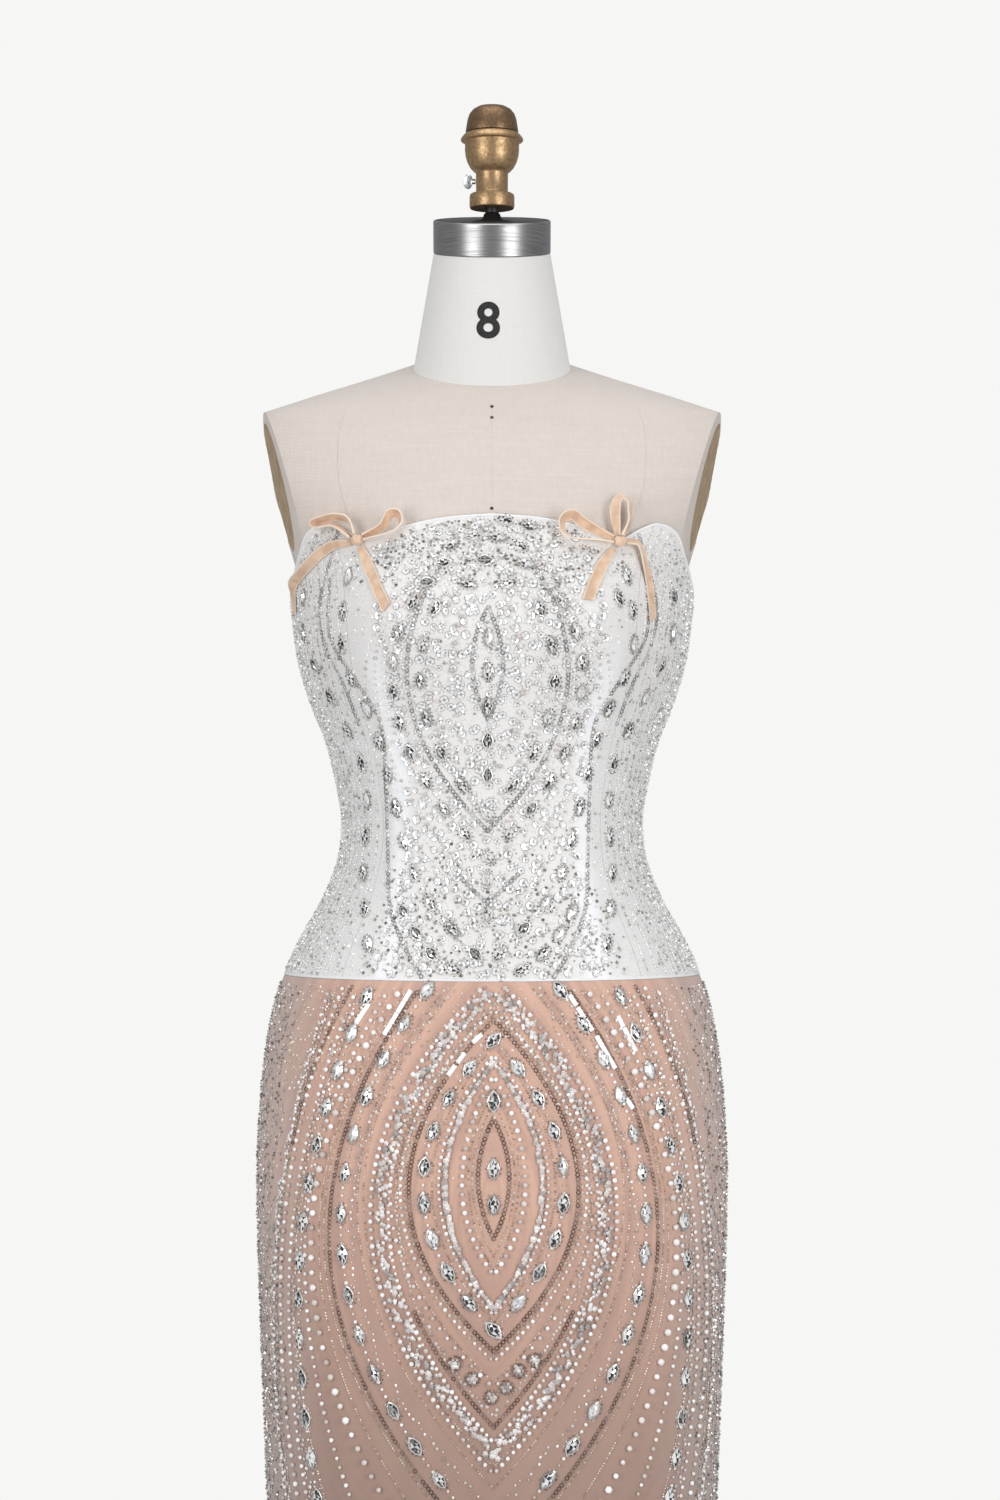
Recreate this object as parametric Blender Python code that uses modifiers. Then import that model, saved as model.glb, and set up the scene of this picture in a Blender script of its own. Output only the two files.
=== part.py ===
"""A strapless beaded evening dress standing on its dress form, in metres, +Z up, front towards -Y."""

import math

import bmesh
import bpy
from mathutils import Matrix, Vector

# Driving sizes
CLOTH_WALL = 0.002
SEAM_GAP = 0.0003
FORM_CLEARANCE = 0.0022
COLUMNS = 48
SKIRT_COLUMNS = 54
BODICE_ROWS = 13
SKIRT_ROWS = 19
TORSO_ROWS = 15
SHOULDER_ROWS = 4

BUST_HEIGHT = 1.255
BUST_OUT = 0.083
BUST_RISE = 0.030
BUST_SPREAD = 0.044

FLUTES_START = 0.46
FLUTE_DEPTH = 0.013
FLUTE_DEEPENING = 1.6
FLUTE_COUNT = 9
MINOR_FLUTE_COUNT = 5
MINOR_FLUTE_SHARE = 0.35
MINOR_FLUTE_LAG = 0.9

STONE_HALF_WIDTH = 0.0045
STONE_HALF_LENGTH = 0.0068
STONE_SETTING = 0.0008
STONE_RISE = 0.0018

FORM_BOTTOM = 0.800
SHOULDER_HEIGHT = 1.434
SHOULDER_SWELL = 0.05
HEM_HEIGHT = 0.012
BODICE_HEM = 0.9620
BODICE_HEM_DIP = 0.0015
SEAM_TRIM = 1.3

NECK_BASE_CENTRE = Vector((0, 0.008, 1.472))
NECK_BASE_RADII = (0.066, 0.058)
NECK_BASE_TILT = math.radians(22)
NECK_TOP_CENTRE = Vector((0, -0.010, 1.5665))
NECK_TOP_RADIUS = 0.0488
NECK_TILT = math.radians(14)
NECK_RINGS = 6
NECK_COLUMNS = 36
BAND_HEIGHT = 0.027
BAND_RADIUS = 0.0491
BAND_WALL = 0.0022
PLUG_SINK = 0.001
CONE_RADIUS = 0.020
CONE_HEIGHT = 0.016
CONE_TOP_LIP = 0.001

POST_PLACE = (0, -0.013)
POST_RADIUS = 0.0058
POST_FOOT = 1.5995
FINIAL_FOOT = 1.6035
SCREW_HEIGHT = 1.626
SCREW_HEAD_OUT = 0.0190
SCREW_STEM_RADIUS = 0.0022
SCREW_STEM_BITE = 0.0005
WING_RADII = (0.0062, 0.0042)
WING_THICKNESS = 0.0022
WING_SET_BACK = 0.0010

ARM_PLATE_CENTRE = Vector((0.1800, 0.012, 1.372))
ARM_PLATE_NORMAL = Vector((0.94, -0.20, -0.22)).normalized()
ARM_PLATE_RADII = (0.055, 0.031)
ARM_RECESS = 0.0040
ARM_PLATE_THICKNESS = 0.0027
ARM_SLAB = (0.4, 0.4, 0.1)

BASE_RADIUS = 0.180
BASE_THICKNESS = 0.010
POLE_RADIUS = 0.0125
POLE_FLANGE_RADIUS = 0.050
POLE_FLANGE_THICKNESS = 0.012

RIBBON_THICKNESS = 0.0014
RIBBON_STEPS = 2

# The figure's level sections: height, half width at the sides, depth forwards and depth backwards.
# Above the form's foot they are the body, and below it they are the skirt's own fall.
SECTION_COLUMNS = ("height", "half_width", "front", "back")
SECTIONS = (
    (0.012, 0.266, 0.230, 0.244),
    (0.080, 0.246, 0.206, 0.218),
    (0.160, 0.225, 0.180, 0.190),
    (0.240, 0.207, 0.155, 0.163),
    (0.320, 0.193, 0.134, 0.142),
    (0.400, 0.185, 0.120, 0.126),
    (0.470, 0.1835, 0.114, 0.118),
    (0.522, 0.1855, 0.113, 0.117),
    (0.600, 0.1885, 0.114, 0.119),
    (0.680, 0.1915, 0.116, 0.123),
    (0.760, 0.1940, 0.118, 0.130),
    (0.815, 0.1940, 0.118, 0.134),
    (0.873, 0.1902, 0.117, 0.136),
    (0.907, 0.1860, 0.115, 0.135),
    (0.940, 0.1795, 0.112, 0.131),
    (0.961, 0.1725, 0.109, 0.126),
    (0.991, 0.1587, 0.105, 0.115),
    (1.024, 0.1402, 0.101, 0.103),
    (1.058, 0.1268, 0.098, 0.095),
    (1.092, 0.1234, 0.097, 0.092),
    (1.125, 0.1285, 0.098, 0.094),
    (1.159, 0.1373, 0.100, 0.099),
    (1.192, 0.1503, 0.103, 0.106),
    (1.226, 0.1600, 0.106, 0.112),
    (1.262, 0.1650, 0.107, 0.116),
    (1.293, 0.1690, 0.104, 0.118),
    (1.310, 0.1740, 0.101, 0.119),
    (1.327, 0.1825, 0.097, 0.119),
    (1.345, 0.1925, 0.092, 0.118),
    (1.366, 0.2020, 0.085, 0.116),
    (1.392, 0.2060, 0.075, 0.110),
    (1.415, 0.2045, 0.065, 0.101),
    (1.434, 0.1950, 0.055, 0.089),
)

# The top edge of the bodice: degrees round from centre front, and height.
NECKLINE = (
    (0, 1.3404),
    (12, 1.3370),
    (24, 1.3290),
    (35, 1.3200),
    (41, 1.3295),
    (46, 1.3350),
    (55, 1.3290),
    (65, 1.3110),
    (78, 1.2890),
    (90, 1.2770),
    (120, 1.2680),
    (150, 1.2620),
    (180, 1.2600),
)

# The finial's turned profile, from its crown down: radius and height.
FINIAL = (
    (0.0000, 1.6900),
    (0.0118, 1.6890),
    (0.0189, 1.6838),
    (0.0214, 1.6754),
    (0.0227, 1.6670),
    (0.0260, 1.6618),
    (0.0258, 1.6596),
    (0.0238, 1.6560),
    (0.0235, 1.6500),
    (0.0205, 1.6400),
    (0.0150, 1.6340),
    (0.0134, 1.6325),
    (0.0134, 1.6165),
    (0.0180, 1.6150),
    (0.0186, 1.6120),
    (0.0186, 1.6050),
    (0.0176, FINIAL_FOOT),
    (0.0000, FINIAL_FOOT),
)

# Pointed ovals of large stones: centre height, half height, half width round the figure in degrees,
# and stones a side.
STONE_OVALS = (
    (1.150, 0.185, 30, 13),
    (1.150, 0.300, 58, 11),
    (0.800, 0.130, 19, 8),
    (0.780, 0.330, 42, 14),
    (0.640, 0.520, 66, 14),
    (0.430, 0.150, 19, 5),
)

# No stones lie under the bows or along the zip: heights, and degrees round from centre front or back.
BOWS_ABOVE = 1.235
BOWS_BETWEEN = (20, 90)
ZIP_FOOT = 0.80
ZIP_SIDE = 9

# Ribbon strands: millimetres across and up from their knot, clearance under the strand in millimetres,
# degrees of lean from lying flat (0) to standing on edge (90), and width in millimetres.
BOWS = {
    "left": {
        "knot": (-0.1058, 1.3175),
        "inner_loop": (
            (5.4, 0.2, 2.2, 70, 5.0),
            (16.5, 1.8, 2.6, 60, 8.0),
            (27.3, 4.8, 2.6, 55, 9.5),
            (33.9, 11.6, 2.6, 60, 9.5),
            (32.0, 19.0, 2.6, 65, 9.5),
            (26.0, 19.6, 2.6, 65, 9.5),
            (23.0, 14.5, 2.6, 65, 9.0),
            (18.5, 8.2, 2.6, 70, 8.0),
            (4.5, 2.8, 2.4, 75, 5.0),
        ),
        "outer_loop": (
            (-2.4, 4.6, 2.6, 70, 5.0),
            (-7.0, 16.5, 2.6, 65, 9.0),
            (-16.5, 20.2, 2.6, 65, 9.5),
            (-27.0, 19.6, 2.6, 65, 9.5),
            (-34.6, 17.6, 2.6, 65, 9.5),
            (-30.5, 14.6, 2.6, 65, 9.5),
            (-19.8, 14.4, 2.6, 65, 9.0),
            (-12.4, 10.2, 2.6, 70, 8.0),
            (-4.8, 2.7, 2.6, 75, 5.0),
        ),
        "outer_tail": (
            (-5.6, -1.1, 1.6, 40, 5.0),
            (-19.8, -1.8, 1.0, 35, 8.0),
            (-31.3, -8.3, 0.8, 45, 9.0),
            (-45.4, -21.5, 0.8, 55, 9.0),
            (-53.4, -29.5, 0.8, 40, 9.0),
            (-55.3, -38.0, 0.8, 10, 9.0),
            (-55.0, -53.7, 0.8, 0, 9.0),
        ),
        "inner_tail": (
            (1.4, -4.7, 1.2, 5, 6.0),
            (5.8, -15.0, 0.8, 0, 9.0),
            (10.9, -27.3, 0.8, 0, 9.5),
            (16.5, -41.0, 0.8, 0, 9.5),
            (23.0, -54.5, 0.8, 0, 9.5),
        ),
    },
    "right": {
        "knot": (0.1002, 1.3158),
        "inner_loop": (
            (-4.9, 2.4, 2.6, 60, 5.0),
            (-18.8, 8.2, 2.6, 50, 8.0),
            (-28.9, 14.2, 2.6, 50, 9.5),
            (-36.0, 20.4, 2.6, 55, 9.5),
            (-43.6, 16.0, 2.6, 55, 9.5),
            (-43.4, 5.2, 2.6, 55, 9.5),
            (-36.0, 0.2, 2.6, 60, 9.0),
            (-22.0, -0.4, 2.6, 65, 8.0),
            (-5.6, -0.9, 3.0, 70, 5.0),
        ),
        "outer_loop": (
            (-1.4, 5.0, 2.6, 50, 5.0),
            (-2.4, 15.7, 2.6, 45, 8.0),
            (-2.6, 25.6, 2.6, 45, 9.5),
            (-0.6, 34.0, 2.6, 50, 9.5),
            (3.7, 37.0, 2.6, 50, 9.5),
            (8.6, 33.6, 2.6, 50, 9.5),
            (9.3, 25.6, 2.6, 45, 9.5),
            (8.2, 15.7, 2.6, 50, 8.0),
            (2.9, 4.4, 2.6, 55, 5.0),
        ),
        "inner_tail": (
            (-2.9, -4.6, 0.8, 5, 5.0),
            (-12.0, -18.0, 0.8, 0, 9.5),
            (-18.6, -32.4, 0.8, 0, 9.5),
            (-24.0, -47.1, 0.8, 0, 9.5),
        ),
        "outer_tail": (
            (5.6, 1.0, 2.2, 30, 5.0),
            (14.4, 0.6, 2.6, 30, 7.5),
            (18.2, -5.6, 2.4, 25, 8.0),
            (21.5, -17.3, 1.5, 15, 8.0),
            (25.4, -30.7, 0.8, 0, 8.5),
            (26.8, -45.6, 0.8, 0, 8.5),
            (28.1, -60.3, 0.8, 0, 8.5),
        ),
    },
}
KNOT_RADII = (0.0052, 0.0047, 0.0046)
KNOT_LIFT = 0.0054

ZIP_TOP = 1.2500
SLIDER_SIZE = (0.0050, 0.0020, 0.0085)
BRIDGE_RADIUS = 0.0017
BRIDGE_WIRE = 0.00045
PULL_BAR_OUT = 0.00095
PULL_SIZE = (0.0040, 0.0008, 0.0200)
PULL_SLOT = (0.0020, 0.0022)
PULL_SLOT_DEPTH = 0.004


# Working shapes
def between(table, place, column):
    """Read a column of a table at a place, along a smooth curve through its rows."""
    place = min(max(place, table[0][0]), table[-1][0])
    at = max(i for i in range(len(table) - 1) if table[i][0] <= place)
    low, high = table[at], table[at + 1]
    before, after = table[max(at - 1, 0)], table[min(at + 2, len(table) - 1)]
    span = high[0] - low[0]
    share = (place - low[0]) / span
    slope_low = (high[column] - before[column]) / (high[0] - before[0]) * span
    slope_high = (after[column] - low[column]) / (after[0] - low[0]) * span
    square, cube = share * share, share * share * share
    return (
        (2 * cube - 3 * square + 1) * low[column]
        + (cube - 2 * square + share) * slope_low
        + (3 * square - 2 * cube) * high[column]
        + (cube - square) * slope_high
    )


def flute(angle, height):
    """How far the skirt's flutes stand out from its plain section."""
    if height >= FLUTES_START:
        return 0
    share = (FLUTES_START - height) / (FLUTES_START - HEM_HEIGHT)
    main = math.cos(FLUTE_COUNT * angle)
    minor = math.cos(MINOR_FLUTE_COUNT * angle + MINOR_FLUTE_LAG)
    return FLUTE_DEPTH * share**FLUTE_DEEPENING * (main + MINOR_FLUTE_SHARE * minor)


def skin(angle, height):
    """A point of the figure's surface, the angle counted from centre front towards +X."""
    width = between(SECTIONS, height, SECTION_COLUMNS.index("half_width"))
    side = "front" if math.cos(angle) > 0 else "back"
    depth = between(SECTIONS, height, SECTION_COLUMNS.index(side))
    x = width * math.sin(angle)
    y = -depth * math.cos(angle)
    if math.cos(angle) > 0:
        reach = (abs(x) - BUST_OUT) ** 2 + (height - BUST_HEIGHT) ** 2
        y -= BUST_RISE * math.exp(-reach / (2 * BUST_SPREAD**2)) * math.cos(angle) ** 0.5
    outwards = Vector((x, y, 0)).normalized()
    return Vector((x, y, height)) + outwards * flute(angle, height)


def facing(angle, height):
    """The figure's outward normal."""
    step = 0.004
    round_it = skin(angle + step * 4, height) - skin(angle - step * 4, height)
    up_it = skin(angle, height + step) - skin(angle, height - step)
    return round_it.cross(up_it).normalized()


def over(angle, height, out):
    """A point a stated distance off the figure."""
    return skin(angle, height) + facing(angle, height) * out


def hem_of_bodice(angle):
    return BODICE_HEM + BODICE_HEM_DIP * math.cos(angle)


def top_of_bodice(angle):
    turn = math.degrees(abs(math.remainder(angle, 2 * math.pi)))
    return between(NECKLINE, turn, 1)


def finish(name, colour, roughness, metallic=0.0):
    material = bpy.data.materials.new(name)
    material.use_nodes = True
    shader = material.node_tree.nodes["Principled BSDF"]
    shader.inputs["Base Color"].default_value = (*colour, 1)
    shader.inputs["Roughness"].default_value = roughness
    shader.inputs["Metallic"].default_value = metallic
    material.diffuse_color = (*colour, 1)
    return material


def place(name, bm, material, smooth=False):
    """Close a bmesh into a named object of the part."""
    bmesh.ops.recalc_face_normals(bm, faces=bm.faces)
    mesh = bpy.data.meshes.new(name)
    bm.to_mesh(mesh)
    bm.free()
    mesh.materials.append(material)
    if smooth:
        mesh.shade_smooth()
        mesh.set_sharp_from_angle(angle=math.radians(40))
    thing = bpy.data.objects.new(name, mesh)
    parts.objects.link(thing)
    return thing


def loft(bm, rings):
    """Skin a list of closed rings with quads and cap both ends."""
    corners = [[bm.verts.new(point) for point in ring] for ring in rings]
    count = len(corners[0])
    for low, high in zip(corners, corners[1:]):
        for i in range(count):
            j = (i + 1) % count
            bm.faces.new((low[i], low[j], high[j], high[i]))
    bm.faces.new(corners[0])
    bm.faces.new(corners[-1])


def cut(thing, cutter, operation="DIFFERENCE"):
    modifier = thing.modifiers.new(cutter.name, "BOOLEAN")
    modifier.operation = operation
    modifier.object = cutter
    modifier.solver = "EXACT"


def as_cutter(thing):
    parts.objects.unlink(thing)
    cutters.objects.link(thing)
    thing.hide_render = True
    thing.display_type = "WIRE"
    return thing


def turned(name, profile, material, place_xy=(0, 0), steps=24):
    """Turn a profile, listed from top to bottom, about an upright axis."""
    mesh = bpy.data.meshes.new(name)
    points = [(radius, 0, height) for radius, height in profile]
    edges = [(i, i + 1) for i in range(len(points) - 1)]
    if profile[0][0] > 0:
        edges.append((len(points) - 1, 0))
    mesh.from_pydata(points, edges, [])
    mesh.materials.append(material)
    thing = bpy.data.objects.new(name, mesh)
    thing.location = (*place_xy, 0)
    parts.objects.link(thing)
    screw = thing.modifiers.new("Turn", "SCREW")
    screw.steps = steps
    screw.render_steps = steps
    screw.use_merge_vertices = True
    screw.merge_threshold = 0.0001
    screw.use_smooth_shade = True
    return thing


def box(size, centre):
    bm = bmesh.new()
    matrix = Matrix.Translation(centre) @ Matrix.Diagonal((*size, 1))
    bmesh.ops.create_cube(bm, size=1, matrix=matrix)
    return bm


def disc(radii, thickness, matrix, segments=32):
    bm = bmesh.new()
    shape = matrix @ Matrix.Diagonal((*radii, thickness, 1))
    bmesh.ops.create_cone(bm, cap_ends=True, segments=segments, radius1=1, radius2=1, depth=1, matrix=shape)
    return bm


# Cloth walls
def raise_stone(bm, face):
    """Draw a quad of the outer wall up into one pointed stone on a low collar."""
    centre = face.calc_center_median()
    normal = face.normal.copy()
    up = (Vector((0, 0, 1)) - normal * normal.z).normalized()
    across = up.cross(normal)
    bmesh.ops.inset_individual(bm, faces=[face], thickness=STONE_HALF_WIDTH / 4)
    points = {
        (False, False): -across * STONE_HALF_WIDTH,
        (True, False): -up * STONE_HALF_LENGTH,
        (True, True): across * STONE_HALF_WIDTH,
        (False, True): up * STONE_HALF_LENGTH,
    }
    for corner in face.verts:
        offset = corner.co - centre
        key = (offset.dot(across) > 0, offset.dot(up) > 0)
        corner.co = centre + points[key] + normal * STONE_SETTING
    bmesh.ops.poke(bm, faces=[face], offset=STONE_RISE)


def stone_places():
    """Angles and heights of the large stones, mirrored left to right and front to back."""
    places = []
    for centre, half_height, half_turn, count in STONE_OVALS:
        for k in range(count):
            share = -1 + 2 * (k + 0.5) / count
            turn = math.radians(half_turn) * (1 - share * share)
            places.append((turn, centre + half_height * share))
    mirrored = [(-turn, height) for turn, height in places]
    backs = [(math.pi - turn, height) for turn, height in places + mirrored]
    return places + mirrored + backs


def column_at(turn, columns, first, last):
    """The panel column that an angle falls in, or None where it is off the panel."""
    column = (math.floor(turn / (2 * math.pi) * columns) - first) % columns
    return column if column < last - first else None


def cloth_panel(name, first, last, columns, rows, foot, top, material, bare=()):
    """A cloth wall between two seams, its outer side carrying the stones that fall on it."""
    step = 2 * math.pi / columns
    angles = [i * step for i in range(first, last + 1)]
    reach = (angles[-1] - angles[0]) / 2
    middle = (angles[-1] + angles[0]) / 2
    bm = bmesh.new()
    layers = []
    for out in (0, CLOTH_WALL):
        layer = []
        for row in range(rows + 1):
            line = []
            for angle in angles:
                height = foot(angle) + (top(angle) - foot(angle)) * row / rows
                width = skin(math.pi / 2, height).x
                trim = SEAM_GAP / 2 / width * SEAM_TRIM
                shrunk = middle + (angle - middle) * (1 - trim / reach)
                line.append(bm.verts.new(over(shrunk, height, out)))
            layer.append(line)
        layers.append(layer)
    inner, outer = layers
    shown = {}
    for row in range(rows):
        for i in range(last - first):
            bm.faces.new((inner[row][i], inner[row + 1][i], inner[row + 1][i + 1], inner[row][i + 1]))
            shown[(row, i)] = bm.faces.new(
                (outer[row][i], outer[row][i + 1], outer[row + 1][i + 1], outer[row + 1][i])
            )
    border = [(0, i) for i in range(last - first)]
    border += [(row, last - first) for row in range(rows)]
    border += [(rows, i) for i in range(last - first, 0, -1)]
    border += [(row, 0) for row in range(rows, 0, -1)]
    for (row_a, i_a), (row_b, i_b) in zip(border, border[1:] + border[:1]):
        bm.faces.new((inner[row_a][i_a], inner[row_b][i_b], outer[row_b][i_b], outer[row_a][i_a]))
    bmesh.ops.recalc_face_normals(bm, faces=bm.faces)
    chosen = set()
    for turn, height in stone_places():
        i = column_at(turn, columns, first, last)
        if i is None:
            continue
        angle = (first + i + 0.5) * step
        row = math.floor((height - foot(angle)) / (top(angle) - foot(angle)) * rows)
        if 0 <= row < rows and not any(clear(angle, height) for clear in bare):
            chosen.add((row, i))
    for key in sorted(chosen):
        raise_stone(bm, shown[key])
    return place(name, bm, material)


def under_bows(angle, height):
    turn = abs(math.degrees(math.remainder(angle, 2 * math.pi)))
    return height > BOWS_ABOVE and BOWS_BETWEEN[0] < turn < BOWS_BETWEEN[1]


def beside_zip(angle, height):
    turn = abs(math.degrees(math.remainder(angle - math.pi, 2 * math.pi)))
    return height > ZIP_FOOT and turn < ZIP_SIDE


# Ribbon strands
def curved(a, b, c, d, t):
    """A value a share t of the way from b to c, on the smooth curve that also passes a and d."""
    linear = (c - a) * t
    square = (2 * a - 5 * b + 4 * c - d) * t**2
    cube = (3 * b - a - 3 * c + d) * t**3
    return (2 * b + linear + square + cube) / 2


def smooth_rows(rows, steps):
    """Points along a smooth curve through the rows of a table."""
    found = []
    for at in range(len(rows) - 1):
        before, after = rows[max(at - 1, 0)], rows[min(at + 2, len(rows) - 1)]
        four = list(zip(before, rows[at], rows[at + 1], after))
        for k in range(steps):
            found.append([curved(*values, k / steps) for values in four])
    found.append(list(rows[-1]))
    return found


def on_bodice(x, height, lift):
    """The point and the outward normal over the bodice, seen from the front at x."""
    width = skin(math.pi / 2, height).x
    angle = math.asin(max(-0.995, min(0.995, x / width)))
    return over(angle, height, CLOTH_WALL + lift), facing(angle, height)


def strand(name, knot, rows, material):
    """A length of ribbon swept along its route, square cut at both ends."""
    places = []
    for row in smooth_rows(rows, RIBBON_STEPS):
        across, up, clearance, width = (row[i] / 1000 for i in (0, 1, 2, 4))
        lean = math.radians(row[3])
        drop = width / 2 * math.sin(lean) + RIBBON_THICKNESS / 2 * math.cos(lean)
        point, normal = on_bodice(knot[0] + across, knot[1] + up, clearance + drop)
        places.append((point, normal, lean, width))
    rings = []
    for i, (point, normal, lean, width) in enumerate(places):
        ahead = places[min(i + 1, len(places) - 1)][0] - places[max(i - 1, 0)][0]
        ahead.normalize()
        side = ahead.cross(normal).normalized()
        spread = (side * math.cos(lean) + normal * math.sin(lean)).normalized()
        through = spread.cross(ahead).normalized() * RIBBON_THICKNESS / 2
        spread = spread * width / 2
        near, far = point + through, point - through
        rings.append([near + spread, near - spread, far - spread, far + spread])
    bm = bmesh.new()
    loft(bm, rings)
    return place(name, bm, material, smooth=True)


def knot_of(name, knot, material):
    point, normal = on_bodice(knot[0], knot[1], KNOT_LIFT)
    turn = normal.to_track_quat("-Y", "Z").to_matrix().to_4x4()
    bm = bmesh.new()
    matrix = Matrix.Translation(point) @ turn @ Matrix.Diagonal((*KNOT_RADII, 1))
    bmesh.ops.create_uvsphere(bm, u_segments=12, v_segments=8, radius=1, matrix=matrix)
    return place(name, bm, material, smooth=True)


for old in list(bpy.data.objects):
    bpy.data.objects.remove(old)
parts = bpy.data.collections.new("evening_dress_on_form")
cutters = bpy.data.collections.new("cutters")
bpy.context.scene.collection.children.link(parts)
bpy.context.scene.collection.children.link(cutters)

beaded_ivory = finish("beaded_ivory_mesh", (0.80, 0.80, 0.79), 0.45)
beaded_blush = finish("beaded_blush_mesh", (0.62, 0.42, 0.34), 0.5)
velvet = finish("peach_velvet", (0.72, 0.48, 0.33), 0.85)
zip_metal = finish("zip_metal", (0.62, 0.60, 0.57), 0.35, 1.0)
linen = finish("linen_cover", (0.70, 0.64, 0.59), 0.9)
neck_linen = finish("neck_linen", (0.80, 0.79, 0.76), 0.9)
gilt = finish("gilt_plate", (0.35, 0.24, 0.13), 0.6)
steel = finish("brushed_steel", (0.55, 0.55, 0.55), 0.3, 1.0)
black_paint = finish("black_paint", (0.02, 0.02, 0.02), 0.45)
brass = finish("aged_brass", (0.50, 0.33, 0.15), 0.35, 1.0)
zinc = finish("zinc", (0.62, 0.65, 0.66), 0.3, 1.0)
stand_paint = finish("stand_paint", (0.05, 0.05, 0.05), 0.4)

# Bodice: the seams run over the bust, down each side and down centre back.
PRINCESS = 6
SIDE = COLUMNS // 4
BACK = COLUMNS // 2
bodice_panels = {
    "bodice_centre_front": (-PRINCESS, PRINCESS),
    "bodice_side_front_right": (PRINCESS, SIDE),
    "bodice_back_right": (SIDE, BACK),
    "bodice_back_left": (BACK, COLUMNS - SIDE),
    "bodice_side_front_left": (COLUMNS - SIDE, COLUMNS - PRINCESS),
}
for panel, (first, last) in bodice_panels.items():
    cloth_panel(
        panel,
        first,
        last,
        COLUMNS,
        BODICE_ROWS,
        hem_of_bodice,
        top_of_bodice,
        beaded_ivory,
        bare=(under_bows, beside_zip),
    )

# Skirt: one front and two backs, from the bodice's hem down to just off the floor.
skirt_panels = {
    "skirt_front": (-(SKIRT_COLUMNS // 4), SKIRT_COLUMNS // 4),
    "skirt_back_right": (SKIRT_COLUMNS // 4, SKIRT_COLUMNS // 2),
    "skirt_back_left": (SKIRT_COLUMNS // 2, SKIRT_COLUMNS - SKIRT_COLUMNS // 4),
}
for panel, (first, last) in skirt_panels.items():
    cloth_panel(
        panel,
        first,
        last,
        SKIRT_COLUMNS,
        SKIRT_ROWS,
        lambda angle: HEM_HEIGHT,
        lambda angle: hem_of_bodice(angle) - SEAM_GAP,
        beaded_blush,
        bare=(beside_zip,),
    )

# Bows: each strand leaves its knot and lies on or just off the bodice.
for side, strands in BOWS.items():
    knot_of(f"bow_{side}_knot", strands["knot"], velvet)
    for strand_name in ("inner_loop", "outer_loop", "inner_tail", "outer_tail"):
        strand(f"bow_{side}_{strand_name}", strands["knot"], strands[strand_name], velvet)

# Zip: the slider stands at the top of the centre back seam, and its pull hangs from the bridge.
zip_face = max(over(math.pi, ZIP_TOP + dz, CLOTH_WALL).y for dz in (-0.005, 0, 0.005)) + SEAM_GAP
slider_centre = Vector((0, zip_face + SLIDER_SIZE[1] / 2, ZIP_TOP))
slider = place("zip_slider", box(SLIDER_SIZE, slider_centre), zip_metal)
pull_axis = Vector((0, zip_face + SLIDER_SIZE[1] + PULL_BAR_OUT, ZIP_TOP))
bridge_mesh = bmesh.new()
bridge_rings = []
for k in range(16):
    turn = 2 * math.pi * k / 16
    arm = Vector((0, math.cos(turn), math.sin(turn)))
    ring = []
    for j in range(6):
        spin = 2 * math.pi * j / 6
        ring.append(
            pull_axis
            + arm * (BRIDGE_RADIUS + BRIDGE_WIRE * math.cos(spin))
            + Vector((BRIDGE_WIRE * math.sin(spin), 0, 0))
        )
    bridge_rings.append([bridge_mesh.verts.new(point) for point in ring])
for low, high in zip(bridge_rings, bridge_rings[1:] + bridge_rings[:1]):
    for j in range(6):
        n = (j + 1) % 6
        bridge_mesh.faces.new((low[j], low[n], high[n], high[j]))
bridge = as_cutter(place("zip_bridge", bridge_mesh, zip_metal))
cut(slider, bridge, "UNION")

pull_bar = PULL_SIZE[1]
pull_centre = pull_axis + Vector((0, 0, -PULL_SIZE[2] / 2 + pull_bar / 2))
pull = place("zip_pull", box(PULL_SIZE, pull_centre), zip_metal)
slot_centre = pull_axis + Vector((0, 0, -pull_bar / 2 - PULL_SLOT[1] / 2))
slot_size = (PULL_SLOT[0], PULL_SLOT_DEPTH, PULL_SLOT[1])
cut(pull, as_cutter(place("zip_pull_slot", box(slot_size, slot_centre), zip_metal)))

# Dress form: the torso is one padded shell over the body's sections, cut flat where the arms would start.
torso_mesh = bmesh.new()
torso_rings = []
for row in range(TORSO_ROWS + 1):
    height = FORM_BOTTOM + (SHOULDER_HEIGHT - FORM_BOTTOM) * row / TORSO_ROWS
    torso_rings.append([over(2 * math.pi * i / COLUMNS, height, -FORM_CLEARANCE) for i in range(COLUMNS)])
shoulder_ring = torso_rings[-1]


def neck_ring_point(angle, centre, radii, tilt):
    """A point of a neck section, the section leaning forwards."""
    flat = Vector((radii[0] * math.sin(angle), -radii[1] * math.cos(angle), 0))
    return centre + Matrix.Rotation(tilt, 3, "X") @ flat


neck_ring_points = [
    neck_ring_point(2 * math.pi * i / COLUMNS, NECK_BASE_CENTRE, NECK_BASE_RADII, NECK_BASE_TILT)
    for i in range(COLUMNS)
]
for k in range(1, SHOULDER_ROWS + 1):
    share = k / SHOULDER_ROWS
    rise = share + SHOULDER_SWELL * math.sin(math.pi * share)
    ring = []
    for low, high in zip(shoulder_ring, neck_ring_points):
        point = low.lerp(high, share)
        point.z = low.z + (high.z - low.z) * rise
        ring.append(point)
    torso_rings.append(ring)
loft(torso_mesh, torso_rings)
torso = place("form_torso", torso_mesh, linen, smooth=True)

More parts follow.
